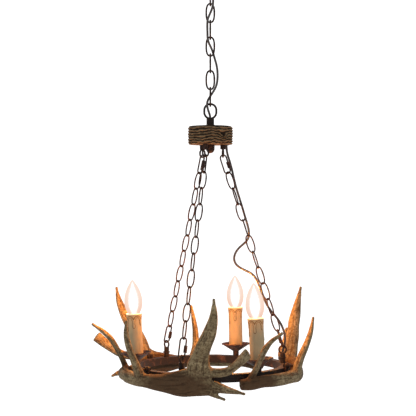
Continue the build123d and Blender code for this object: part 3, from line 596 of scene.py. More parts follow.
def lathe(name: str, profile: Profile, finish: bpy.types.Material, place: Optional[Matrix] = None,
          around: int = 64, ripple: Optional[Callable[[np.ndarray, int], tuple[Any, Any]]] = None,
          closed: bool = False) -> bpy.types.Object:
    """Turn a profile round Z.

    Args:
        name: The piece's name.
        profile: Radius and height in order; the winding runs upwards outside.
        finish: Its material.
        place: Where its frame stands.
        around: Points in a ring.
        ripple: Gives extra radius and height for the angles of one ring.
        closed: Whether the profile's last point joins its first.

    Returns:
        The object, with its height from 0 to 1 stored on it.
    """
    angles = np.linspace(0.0, 2 * math.pi, around, endpoint=False)
    rings = []
    for index, (radius, height) in enumerate(profile):
        wider, higher = ripple(angles, index) if ripple else (0.0, 0.0)
        r = radius + wider
        rings.append(np.stack([r * np.cos(angles), r * np.sin(angles), height + higher + 0 * angles], 1))
    points = np.concatenate(rings)
    faces = band_faces(len(profile), around, closed)
    if not closed:
        if profile[0][0] > 1e-6:
            faces.append(tuple(reversed(range(around))))
        if profile[-1][0] > 1e-6:
            faces.append(tuple((len(profile) - 1) * around + k for k in range(around)))
    made = solid(name, points, faces, finish, place)
    low, high = points[:, 2].min(), points[:, 2].max()
    store(made, "height", (points[:, 2] - low) / max(high - low, 1e-6))
    return made


def curved(a: Any, b: Any, c: Any, d: Any, t: float) -> Any:
    """The point at t between b and c on a Catmull-Rom line through four."""
    return 0.5 * ((2 * b) + (c - a) * t + (2 * a - 5 * b + 4 * c - d) * t * t
                  + (3 * b - a - 3 * c + d) * t ** 3)


def finer(profile: Profile, step: float) -> list[tuple[float, float]]:
    """A smooth profile through the given points.

    Args:
        profile: Radius and height.
        step: The largest distance between points.

    Returns:
        More points on a Catmull-Rom line through them.
    """
    p = [Vector((r, z)) for r, z in profile]
    out = []
    for i in range(len(p) - 1):
        a, b, c, d = p[max(i - 1, 0)], p[i], p[i + 1], p[min(i + 2, len(p) - 1)]
        count = max(1, math.ceil((c - b).length / step))
        for k in range(count):
            point = curved(a, b, c, d, k / count)
            out.append((max(point.x, 0.0), point.y))
    out.append(tuple(p[-1]))
    return out


def loop_bar(path: np.ndarray, radii: np.ndarray, across: np.ndarray, around: int) -> Shape:
    """Round bar along a flat path that closes on itself.

    Args:
        path: Points of its centreline.
        radii: One radius for each point.
        across: The direction square to the path's plane.
        around: Points in a ring.

    Returns:
        Points and faces.
    """
    forward = np.roll(path, -1, 0) - np.roll(path, 1, 0)
    forward /= np.linalg.norm(forward, axis=1)[:, None]
    outward = np.cross(forward, across)
    angles = np.linspace(0.0, 2 * math.pi, around, endpoint=False)
    ring = (np.cos(angles)[None, :, None] * outward[:, None, :]
            + np.sin(angles)[None, :, None] * across[None, None, :])
    points = path[:, None, :] + ring * radii[:, None, None]
    return points.reshape(-1, 3), band_faces(len(path), around, True)


def rotation(axis: str, degrees: float) -> Matrix:
    """A turn about one axis."""
    return Matrix.Rotation(math.radians(degrees), 4, axis)


def shift(x: float, y: float, z: float) -> Matrix:
    """A move in millimetres."""
    return Matrix.Translation((x, y, z))


# --------------------------------------------------------------------------- camera and studio
@dataclass
class Studio:
    """Camera at the photograph's place, soft light all round, and a pale floor."""

    camera_place: Point = (-0.0045, -2.333, -0.485)
    lens: float = 103.4
    sensor: float = 36.0
    reach: float = 60.0
    world: float = 0.92
    aim: Point = (0.0, 0.0, -0.65)
    soft_lights: tuple[tuple[str, Point, float, float], ...] = (
        ("key", (-1.6, -2.2, 0.9), 8.0, 1.6), ("fill", (2.0, -1.6, 0.4), 3.0, 1.8))
    floor_height: float = -1.30
    floor_line: Profile = ((-6.0, 0.0), (4.0, 0.0), (5.2, 0.16), (6.0, 0.7), (6.3, 1.6), (6.35, 4.5))
    floor_half: float = 7.0
    lamp_power: float = 4.2
    lamp_colour: Colour = (1.0, 0.34, 0.05)
    lamp_size: float = 0.012

    def set_camera(self) -> None:
        """Put the camera level, looking along +Y."""
        data = bpy.data.cameras.new("camera")
        data.lens = self.lens
        data.sensor_width = self.sensor
        data.clip_end = self.reach
        camera = bpy.data.objects.new("camera", data)
        camera.location = self.camera_place
        camera.rotation_euler = (math.pi / 2, 0.0, 0.0)
        bpy.context.scene.collection.objects.link(camera)
        bpy.context.scene.camera = camera

    def set_light(self) -> None:
        """White world and two very soft lights."""
        scene = bpy.context.scene
        scene.view_settings.view_transform = "Standard"
        world = bpy.data.worlds.new("studio")
        world.use_nodes = True
        background = world.node_tree.nodes["Background"]
        background.inputs["Color"].default_value = (1.0, 1.0, 1.0, 1.0)
        background.inputs["Strength"].default_value = self.world
        scene.world = world
        for name, place, power, size in self.soft_lights:
            data = bpy.data.lights.new(name, "AREA")
            data.energy = power
            data.size = size
            light = bpy.data.objects.new(name, data)
            light.location = place
            aim = Vector(self.aim) - light.location
            light.rotation_euler = aim.to_track_quat("-Z", "Y").to_euler()
            scene.collection.objects.link(light)

    def set_floor(self, paints: Paints) -> None:
        """Lay a floor far below that turns up into a wall behind.

        Args:
            paints: The finishes.
        """
        points, faces = [], []
        for row, (y, z) in enumerate(self.floor_line):
            for column, x in enumerate((-self.floor_half, 0.0, self.floor_half)):
                points.append((x / MM, y / MM, (z + self.floor_height) / MM))
                if row and column:
                    now = row * 3 + column
                    faces.append((now - 4, now - 3, now, now - 1))
        floor = solid("studio_floor", np.array(points), faces, paints.paper)

    def light_lamp(self, number: int, place: Vector) -> None:
        """A warm light in the middle of one lamp.

        Args:
            number: The lamp.
            place: Its middle in metres.
        """
        data = bpy.data.lights.new(f"lamp_light_{number}", "POINT")
        data.energy = self.lamp_power
        data.color = self.lamp_colour
        data.shadow_soft_size = self.lamp_size
        light = bpy.data.objects.new(f"lamp_light_{number}", data)
        light.location = place
        bpy.context.scene.collection.objects.link(light)


# --------------------------------------------------------------------------- cords
@dataclass
class Cord:
    """A flexible cord on one smooth line through its route."""

    name: str
    node: str
    route: tuple[Point, ...]
    upper: Body
    lower: Body
    bend_from: float
    bend_to: float
    diameter: float = 4.4

    def build(self, paints: Paints) -> bpy.types.Object:
        """Args:
            paints: The finishes.

        Returns:
            The cord.
        """
        curve = bpy.data.curves.new(self.name, "CURVE")
        curve.dimensions = "3D"
        curve.resolution_u = 10
        spline = curve.splines.new("NURBS")
        spline.points.add(len(self.route) - 1)
        for point, place in zip(spline.points, self.route):
            point.co = (*(MM * v for v in place), 1.0)
        spline.order_u = 3
        spline.use_endpoint_u = True
        guide = bpy.data.objects.new(f"{self.name}_guide", curve)
        bpy.context.scene.collection.objects.link(guide)
        bpy.context.view_layer.update()
        line = bpy.data.meshes.new_from_object(guide)
        curve.bevel_depth = self.diameter * MM / 2
        curve.bevel_resolution = 5
        curve.use_fill_caps = True
        bpy.context.view_layer.update()
        mesh = bpy.data.meshes.new_from_object(guide.evaluated_get(bpy.context.evaluated_depsgraph_get()))
        bpy.data.objects.remove(guide)
        mesh.materials.clear()
        mesh.materials.append(paints.sheath)
        mesh.polygons.foreach_set("use_smooth", [True] * len(mesh.polygons))
        piece = bpy.data.objects.new(self.name, mesh)
        bpy.context.scene.collection.objects.link(piece)
        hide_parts(self.node)
        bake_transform(piece)
        return piece


MAIN_CORD = Cord("woven_cord", "main_cord", (
    (0.0, 0.0, -30.0), (0.3, -0.2, -39.5), (4.6, -2.6, -48.0), (6.0, -6.2, -57.5), (5.8, -6.0, -69.0),
    (5.6, -5.6, -81.0), (5.0, -5.8, -91.5), (1.6, -6.0, -101.5), (-2.2, -6.0, -110.0),
    (-5.6, -5.8, -118.5), (-6.0, -5.0, -130.5), (-5.6, -4.8, -143.0), (-5.4, -5.2, -155.0),
    (-2.8, -2.8, -164.0), (2.4, 2.4, -173.0), (5.8, 5.6, -182.5), (8.8, 6.2, -193.0),
    (12.0, 5.2, -204.0), (14.0, 3.0, -216.0), (14.4, 0.4, -228.5), (13.4, -2.2, -240.5),
    (10.4, -4.4, -250.5), (5.4, -4.2, -259.0), (0.2, -1.6, -266.5), (-4.6, -3.4, -274.0),
    (-6.6, -6.6, -282.0), (-5.6, -6.4, -290.0), (-3.0, -3.8, -297.5), (-0.6, -0.9, -304.5),
    (-0.1, -0.1, -311.0), (0.0, 0.0, -317.5)), Body.CEILING, Body.CHAIN, -42.0, -76.0)

SIDE_CORD = Cord("lead_cord", "side_cord", (
    (31.6, 11.4, -352.0), (31.6, 11.5, -363.5), (33.0, 12.0, -378.0), (38.4, 13.0, -394.0),
    (43.0, 13.0, -411.0), (46.4, 12.2, -427.5), (50.2, 12.4, -443.0), (55.4, 13.0, -460.0),
    (61.2, 14.0, -478.0), (66.4, 14.8, -496.0), (71.8, 16.2, -513.0), (75.8, 19.0, -527.5),
    (76.8, 23.4, -539.5), (72.8, 25.8, -549.5), (64.4, 25.6, -557.0), (55.0, 24.0, -565.0),
    (48.2, 21.8, -575.5), (46.4, 20.2, -586.5), (50.2, 19.4, -596.0), (58.4, 19.4, -602.5),
    (68.2, 20.2, -607.5), (77.6, 21.4, -611.8), (86.0, 22.6, -618.0), (92.4, 23.4, -628.0),
    (97.2, 23.2, -640.0), (102.0, 23.0, -652.5), (106.6, 23.6, -665.0), (112.2, 26.2, -677.0),
    (119.2, 29.6, -687.5), (127.2, 31.8, -697.0), (135.0, 32.6, -706.5), (141.6, 32.4, -717.5),
    (146.2, 32.2, -730.0), (148.4, 32.6, -743.0), (147.6, 33.6, -755.0), (144.4, 34.9, -766.0),
    (141.0, 35.8, -775.5), (139.5, 36.0, -784.5), (139.44, 35.95, -792.5)), Body.HUB, Body.RING,
    -372.0, -560.0)


# --------------------------------------------------------------------------- chains
@dataclass
class LinkShape:
    """A closed oval link of round wire with a weld on one leg."""

    reach: float
    spread: float
    wire: float
    weld: float = 0.16
    weld_spread: float = 0.62
    weld_rise: float = 0.08
    squareness: float = 2.35
    along: int = 48
    around: int = 12

    def mesh(self) -> Shape:
        """Bend the link in the XZ plane, long axis Z.

        Returns:
            Points and faces.
        """
        angles = np.linspace(0.0, 2 * math.pi, self.along, endpoint=False)
        c, s = np.cos(angles), np.sin(angles)
        power = 2 / self.squareness
        line = np.stack([self.spread / 2 * np.sign(c) * np.abs(c) ** power, 0 * c,
                         self.reach / 2 * np.sign(s) * np.abs(s) ** power], 1)
        seam = np.array([self.spread / 2, 0.0, self.reach * self.weld_rise])
        from_weld = np.linalg.norm(line - seam, axis=1) / (self.weld_spread * self.wire)
        radii = self.wire / 2 * (1 + self.weld * np.exp(-from_weld ** 2))
        return loop_bar(line, radii, np.array([0.0, 1.0, 0.0]), self.around)


@dataclass
class MainChain:
    """The seven links between the rose and the hub."""

    links: int = 7
    shape: LinkShape = field(default_factory=lambda: LinkShape(36.2, 15.8, 3.5, squareness=2.6))

    def build(self, paints: Paints) -> None:
        """Make each link in its CAD link's place.

        Args:
            paints: The finishes.
        """
        points, faces = self.shape.mesh()
        for number in range(1, self.links + 1):
            low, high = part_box(f"main_link_{number}")
            middle = (low[2] + high[2]) / 2 / MM
            turn = rotation("Z", (Plane.SQUARE if number % 2 else Plane.RADIAL).value)
            piece = solid(f"oval_link_{number}", points, faces, paints.chain, shift(0, 0, middle) @ turn)
            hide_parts(f"main_link_{number}")
            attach(piece, Body.CHAIN.value)


@dataclass
class SideChain:
    """Ten links on the slope between two quick links."""

    letter: str
    angle: float
    turns: tuple[float, ...] = (90.0, 0.0) * 5
    shape: LinkShape = field(default_factory=lambda: LinkShape(35.1, 13.6, 2.8))
    start_radius: float = 25.0
    eye_drop: float = 23.95
    first: float = 30.85
    pitch: float = 32.6
    slope: float = 17.77

    def down(self, distance: float, turn: float) -> Matrix:
        """The place at a distance down the chain.

        Args:
            distance: From the hub eyebolt's bar, in millimetres.
            turn: About the chain, in degrees.

        Returns:
            Its frame.
        """
        top = rotation("Z", self.angle) @ shift(self.start_radius, 0, HUB_BOTTOM - self.eye_drop)
        return top @ rotation("Y", -self.slope) @ shift(0, 0, -distance) @ rotation("Z", turn)

    def build(self, paints: Paints) -> None:
        """Join the ten links into one piece in the CAD chain's place.

        Args:
            paints: The finishes.
        """
        points, faces = self.shape.mesh()
        every, joined = [], []
        for number, turn in enumerate(self.turns):
            place = np.array(self.down(self.first + number * self.pitch + self.shape.reach / 2, turn))
            joined += [tuple(i + number * len(points) for i in face) for face in faces]
            every.append(points @ place[:3, :3].T + place[:3, 3])
        piece = solid(f"oval_links_{self.letter}", np.concatenate(every), joined, paints.chain)
        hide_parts(f"side_chain_{self.letter}")
        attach(piece, f"chain_{self.letter}")


# --------------------------------------------------------------------------- hub
@dataclass
class CarvedHub:
    """A log slice whose sides are carved in long wavy ridges round one knot."""

    radius: float = 44.9
    ridges: float = 6.8
    depth: float = 3.0
    around: int = 420
    rows: int = 110
    knot_angle: float = -52.0
    knot_height: float = 0.45
    split_angle: float = -122.0
    split_width: float = 0.42
    round_edge: float = 2.4
    face_radii: tuple[float, ...] = (0.0, 9.0, 20.0, 32.0, 39.0, 42.0)
    face_rim: float = 40.0
    face_eye: float = 8.0

    @staticmethod
    def beyond(angle: float, degrees: float) -> float:
        """The signed turn in radians from a direction in degrees to an angle."""
        return (angle - math.radians(degrees) + math.pi) % (2 * math.pi) - math.pi

    def relief(self, angle: float, high: float) -> float:
        """Carving height at a place on the side.

        Args:
            angle: Round the hub, in radians.
            high: 0 at the bottom edge, 1 at the top.

        Returns:
            0 in a groove to 1 on a ridge.
        """
        across, deep = math.cos(angle), math.sin(angle)
        ring = Vector((across * 1.7, deep * 1.7, high * 1.1))
        turn = self.beyond(angle, self.knot_angle)
        near = math.exp(-((turn / 0.17) ** 2 + ((high - self.knot_height) / 0.16) ** 2))
        warp = (0.46 * noise.noise(ring) + 0.30 * noise.noise(ring * 3.7 + Vector((5, 2, 8)))
                + 0.17 * noise.noise(ring * 11.0 + Vector((1, 7, 3))))
        split = self.beyond(angle, self.split_angle)
        slant = math.exp(-(split / self.split_width) ** 2) * max(0.0, 0.55 - high)
        phase = high * self.ridges + warp + near * 1.3 + slant * 2.6 * split
        groove = (0.5 + 0.5 * math.cos(2 * math.pi * phase)) ** 0.75
        fibres = noise.noise(Vector((across * 9, deep * 9, high * 26)))
        pits = noise.noise(Vector((across * 4.2 + 9, deep * 4.2, high * 9)))
        eye = 0.55 * math.exp(-((turn / 0.05) ** 2 + ((high - self.knot_height) / 0.06) ** 2))
        return min(1.0, max(0.0, 0.86 * groove + 0.30 * fibres + 0.30 * pits - eye))

    def side_point(self, angle: float, high: float, wobble: float) -> tuple[float, float, float]:
        """Radius, height and relief of one point on the carved side.

        Args:
            angle: Round the hub, in radians.
            high: 0 at the bottom edge, 1 at the top.
            wobble: How far the log is out of round there.

        Returns:
            Radius and height in millimetres, and the carving height from 0 to 1.
        """
        height = HUB_TOP - HUB_BOTTOM
        lift = self.relief(angle, high)
        edge = min(high, 1 - high) * height
        round_off = self.round_edge * max(0.0, 1 - edge / 2.6) ** 2
        return self.radius - self.depth * (1 - lift) - round_off + wobble - 0.9, high * height, lift

    def face_point(self, radius: float, high: float, wobble: float) -> tuple[float, float, float]:
        """Radius, height and relief of one point on a sawn face, sunk along its growth rings.

        Args:
            radius: The point's radius before the log's wobble.
            high: 0 on the lower face, 1 on the upper.
            wobble: How far the log is out of round there.

        Returns:
            Radius and height in millimetres, and a value from 0 to 1 for the finish.
        """
        r = radius if radius < self.face_rim else radius + wobble - 1.2
        rings = noise.noise(Vector((r * 0.9 + 2 * wobble, high * 9, 3.0)))
        sink = 0.35 * (0.5 + 0.5 * math.cos(r * 2.4 + 2.0 * wobble)) + 0.25 * rings
        inward = (-sink if high else sink) if radius > self.face_eye else 0.0
        return r, high * (HUB_TOP - HUB_BOTTOM) + inward, 0.62 + 0.5 * rings

    def build(self, paints: Paints) -> None:
        """Make the hub with its carved sides and sawn faces.

        Args:
            paints: The finishes.
        """
        height = HUB_TOP - HUB_BOTTOM
        points, reliefs = [], []
        rows: list[tuple[float, float, bool]] = [(r, 0.0, False) for r in self.face_radii]
        rows += [(self.radius, k / (self.rows - 1), True) for k in range(self.rows)]
        rows += [(r, 1.0, False) for r in reversed(self.face_radii)]
        for radius, high, side in rows:
            for step in range(self.around):
                angle = 2 * math.pi * step / self.around
                c, s = math.cos(angle), math.sin(angle)
                wobble = 0.9 * noise.noise(Vector((c * 1.3, s * 1.3, 4.0)))
                if side:
                    r, z, lift = self.side_point(angle, high, wobble)
                else:
                    r, z, lift = self.face_point(radius, high, wobble)
                points.append((r * c, r * s, HUB_BOTTOM + max(0.0, min(height, z))))
                reliefs.append(lift)
        faces = band_faces(len(rows), self.around)
        piece = solid("carved_hub", np.array(points), faces, paints.log)
        store(piece, "relief", np.array(reliefs))
        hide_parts("hub_log")
        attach(piece, Body.HUB.value)


# --------------------------------------------------------------------------- antlers
Table = tuple[tuple[float, float, float, float, float], ...]


@dataclass
class Tine:
    """One tapering branch: angle, radius, depth, and two half sizes at each station."""

    table: Table
    upright: bool = False
    blunt: float = 3.1
    tip: float = 1.8
    squareness: float = 0.86

    def samples(self, step: float) -> tuple[np.ndarray, np.ndarray]:
        """Smooth the stations into many.

        Args:
            step: Distance between samples in millimetres.

        Returns:
            Centres, and half sizes, one row for each sample.
        """
        rows = []
        for angle, radius, depth, wide, thin in self.table:
            turn = math.radians(angle)
            rows.append((radius * math.cos(turn), radius * math.sin(turn),
                         RING_TOP + ANTLER_DATUM - depth, wide, thin))
        p = np.array(rows)
        out = []
        for i in range(len(p) - 1):
            a, b, c, d = p[max(i - 1, 0)], p[i], p[i + 1], p[min(i + 2, len(p) - 1)]
            count = max(2, math.ceil(np.linalg.norm((c - b)[:3]) / step))
            out += [curved(a, b, c, d, k / count) for k in range(count)]
        out.append(p[-1])
        every = np.array(out)
        return every[:, :3], np.maximum(every[:, 3:], self.blunt)

    def frames(self, centres: np.ndarray) -> tuple[np.ndarray, np.ndarray, np.ndarray]:
        """Directions along and across the branch.

        Args:
            centres: Its samples' centres.

        Returns:
            Along, and the two ways that the half sizes point, one row for each sample.
        """
        along = np.gradient(centres, axis=0)
        along /= np.linalg.norm(along, axis=1)[:, None]
        way = np.array([0.0, 0.0, 1.0]) if self.upright else np.array([1.0, 0.0, 0.0])
        wide = way[None, :] - along * (along @ way)[:, None]
        wide /= np.linalg.norm(wide, axis=1)[:, None]
        return along, wide, np.cross(along, wide)

    def mesh(self, around: int = 28) -> Shape:
        """Skin the closed branch.

        Args:
            around: Points in a ring.

        Returns:
            Points and faces.
        """
        centres, sizes = self.samples(3.0)
        along, wide, thin = self.frames(centres)
        angles = np.linspace(0, 2 * math.pi, around, endpoint=False)
        c = np.sign(np.cos(angles)) * np.abs(np.cos(angles)) ** self.squareness
        s = np.sign(np.sin(angles)) * np.abs(np.sin(angles)) ** self.squareness
        points = (centres[:, None, :] + c[None, :, None] * wide[:, None, :] * sizes[:, 0][:, None, None]
                  + s[None, :, None] * thin[:, None, :] * sizes[:, 1][:, None, None])
        points = np.concatenate([points.reshape(-1, 3), centres[:1], centres[-1:] + along[-1:] * self.tip])
        faces = band_faces(len(centres), around)
        low, high = len(points) - 2, len(points) - 1
        last = (len(centres) - 1) * around
        for k in range(around):
            faces.append((low, (k + 1) % around, k))
            faces.append((high, last + k, last + (k + 1) % around))
        return points, faces


BEAM = Tine(((169.5, 164, 324, 10.0, 9.0), (176, 165, 322, 12.3, 10.8), (186, 168, 319.5, 12.0, 11.0),
             (198, 169.5, 319.5, 12.0, 11.0), (210, 170.5, 319.5, 12.5, 11.5),
             (222, 171, 319.8, 13.2, 12.0), (232, 170, 321, 14.3, 12.0), (243, 168, 321, 20.0, 12.0),
             (253, 168, 319, 25.0, 12.0), (262, 170, 313.5, 28.0, 12.0),
             (270.5, 172, 313.5, 27.5, 9.5)), True)
BROW = Tine(((175.5, 164, 318, 7.0, 7.0), (178.7, 171, 297.7, 5.8, 5.8), (180, 180, 278.7, 5.6, 5.6),
             (181, 193.6, 256.4, 6.0, 5.6), (182.1, 207.8, 241.2, 5.0, 4.6),
             (183.4, 221, 231.5, 3.4, 3.2), (184.2, 230, 225, 1.4, 1.4)))
SECOND = Tine(((222, 172, 318, 9.5, 9.5), (220.5, 177, 302, 8.6, 8.2), (219.5, 184, 283, 7.4, 7.0),
               (219.3, 193, 262, 6.6, 6.2), (219.8, 201, 240, 5.6, 5.2),
               (220.6, 205, 220, 3.8, 3.4), (221.3, 206, 207, 1.4, 1.4)))
TALL = Tine(((-97.5, 170, 305, 22.0, 11.0), (-97.0, 174.5, 284, 20.5, 12.0),
             (-95.5, 180.5, 264, 16.5, 11.6), (-93.4, 187.5, 247, 14.2, 10.6),
             (-90.9, 196, 226, 13.0, 9.6), (-89.4, 203, 210.5, 11.0, 8.2),
             (-88.5, 210, 192.4, 7.8, 6.2), (-88.4, 215, 174, 4.2, 3.8), (-88.5, 217.5, 161.4, 1.4, 1.4)))
BLADE = Tine(((-94.0, 169, 297, 10.0, 7.0), (-86.6, 172.5, 298.6, 8.8, 6.5),
              (-80.8, 188.5, 294.3, 8.2, 5.6), (-77.3, 208, 280.7, 8.8, 5.0),
              (-74.8, 225, 265.6, 10.5, 4.8), (-73.6, 234.5, 256.8, 11.4, 4.4)), True)
LOWER = Tine(((-93.0, 169, 322, 11.0, 8.0), (-85.5, 174, 325.5, 10.0, 7.4), (-79.7, 187, 329, 6.6, 5.6),
              (-75.2, 194.5, 331.7, 4.4, 3.8), (-71.9, 199.8, 334.6, 1.4, 1.4)), True)
FOOT = Tine(((-93.5, 170, 329, 9.0, 8.0), (-89.0, 174, 337, 5.6, 5.4), (-84.9, 177.7, 342.8, 3.4, 3.4),
             (-81.5, 180, 346.5, 1.4, 1.4)), True)


@dataclass
class Antler:
    """One cast antler: its branches melted together and its grain cut along them."""

    letter: str
    turn: float
    seed: float
    tines: tuple[Tine, ...] = (BEAM, BROW, SECOND, TALL, BLADE, LOWER, FOOT)
    voxel: float = 1.7
    groove: float = 0.75
    swell: float = 1.3
    heart: Point = (-66.0, -160.0, RING_TOP - 20.0)
    base: Point = (-164.0, 0.0, RING_TOP - 18.0)

    def melted(self, name: str) -> bpy.types.Mesh:
        """Melt the branches into one smooth skin.

        Args:
            name: The skin's name.

        Returns:
            The mesh, in metres.
        """
        every, faces, start = [], [], 0
        for tine in self.tines:
            points, quads = tine.mesh()
            every.append(points)
            faces += [tuple(i + start for i in face) for face in quads]
            start += len(points)
        raw = bpy.data.meshes.new(name)
        raw.from_pydata([tuple(p) for p in np.concatenate(every) * MM], [], faces)
        holder = bpy.data.objects.new(name, raw)
        bpy.context.scene.collection.objects.link(holder)
        skin = holder.modifiers.new("skin", "REMESH")
        skin.mode = "VOXEL"
        skin.voxel_size = self.voxel * MM
        soft = holder.modifiers.new("soft", "SMOOTH")
        soft.factor = 0.5
        soft.iterations = 8
        bpy.context.view_layer.update()
        mesh = bpy.data.meshes.new_from_object(holder.evaluated_get(bpy.context.evaluated_depsgraph_get()))
        bpy.data.objects.remove(holder)
        return mesh

    def build(self, paints: Paints) -> None:
        """Carve the grain, turn the antler to its place and dress it.

        Args:
            paints: The finishes.
        """
        mesh = self.melted(f"antler_skin_{self.letter}")
        count = len(mesh.vertices)
        points = np.empty(count * 3)
        normals = np.empty(count * 3)
        mesh.vertices.foreach_get("co", points)
        mesh.vertices.foreach_get("normal", normals)
        points = points.reshape(-1, 3) / MM
        normals = normals.reshape(-1, 3)
        grain, tip = self.straighten(points)
        reliefs = np.zeros(count)
        lifts = np.zeros(count)
        for i in range(count):
            u, v, s = grain[i]
            at = Vector((u * 0.30 + self.seed, v * 0.30, s * 0.022))
            lines = noise.noise(at) + 0.55 * noise.noise(at * 2.1)
            lumps = noise.noise(Vector((u * 0.07, v * 0.07 + self.seed, s * 0.035)))
            reliefs[i] = min(1.0, max(0.0, 0.72 - 1.5 * max(0.0, lines - 0.02)))
            lifts[i] = self.swell * lumps * tip[i] - self.groove * (1 - reliefs[i]) * (0.35 + 0.65 * tip[i])
        points += normals * lifts[:, None]
        palm = self.palm(points)
        mesh.vertices.foreach_set("co", (points * MM).ravel())
        mesh.transform(rotation("Z", self.turn))
        mesh.materials.clear()
        mesh.materials.append(paints.antler)
        mesh.polygons.foreach_set("use_smooth", [True] * len(mesh.polygons))
        mesh.update()
        piece = bpy.data.objects.new(f"antler_cast_{self.letter}", mesh)
        bpy.context.scene.collection.objects.link(piece)
        store(piece, "grain", grain * MM + self.seed)
        store(piece, "relief", reliefs)
        store(piece, "palm", palm)
        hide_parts(f"antler_{self.letter}")
        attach(piece, Body.RING.value)

    def straighten(self, points: np.ndarray) -> tuple[np.ndarray, np.ndarray]:
        """Coordinates across and along the nearest branch.

        Args:
            points: The skin's points.

        Returns:
            Two across and one along, in millimetres, and the branch's thickness from 0 at a tip to 1.
        """
        grain = np.zeros((len(points), 3))
        thick = np.zeros(len(points))
        best = np.full(len(points), 1e9)
        offset = 0.0
        for tine in self.tines:
            centres, sizes = tine.samples(5.0)
            along, wide, thin = tine.frames(centres)
            run = np.concatenate([[0.0], np.cumsum(np.linalg.norm(np.diff(centres, axis=0), axis=1))])
            apart = points[:, None, :] - centres[None, :, :]
            x = np.einsum("ijk,jk->ij", apart, wide) / sizes[:, 0]
            y = np.einsum("ijk,jk->ij", apart, thin) / sizes[:, 1]
            z = np.einsum("ijk,jk->ij", apart, along) / 4.0
            score = x * x + y * y + z * z
            value = score.min(1)
            nearer = value < best
            best = np.where(nearer, value, best)
            share = np.exp(0.7 * (value[:, None] - score))
            share /= share.sum(1)[:, None]
            u = (share * x * sizes[:, 0]).sum(1)
            v = (share * y * sizes[:, 1]).sum(1)
            s = (share * (run + 4.0 * z)).sum(1) + offset
            grain[nearer] = np.stack([u, v, s], 1)[nearer]
            thick = np.where(nearer, np.clip(share @ sizes.min(1) / 10.0, 0.15, 1.0), thick)
            offset += 300.0
        return grain, thick

    def palm(self, points: np.ndarray) -> np.ndarray:
        """Find how near each point is to the broad palm or to the base.

        Args:
            points: The skin's points, before the antler is turned to its place.

        Returns:
            A value from 0 to 1 for each.
        """
        near = np.zeros(len(points))
        for centre, scale, size in ((self.heart, (0.48, 0.4, 1.0), 30.0), (self.base, (0.6, 0.6, 1.0), 24.0)):
            far = np.linalg.norm((points - np.array(centre)) * np.array(scale), axis=1)
            near += np.exp(-(far / size) ** 2)
        return np.clip(near, 0.0, 1.0)


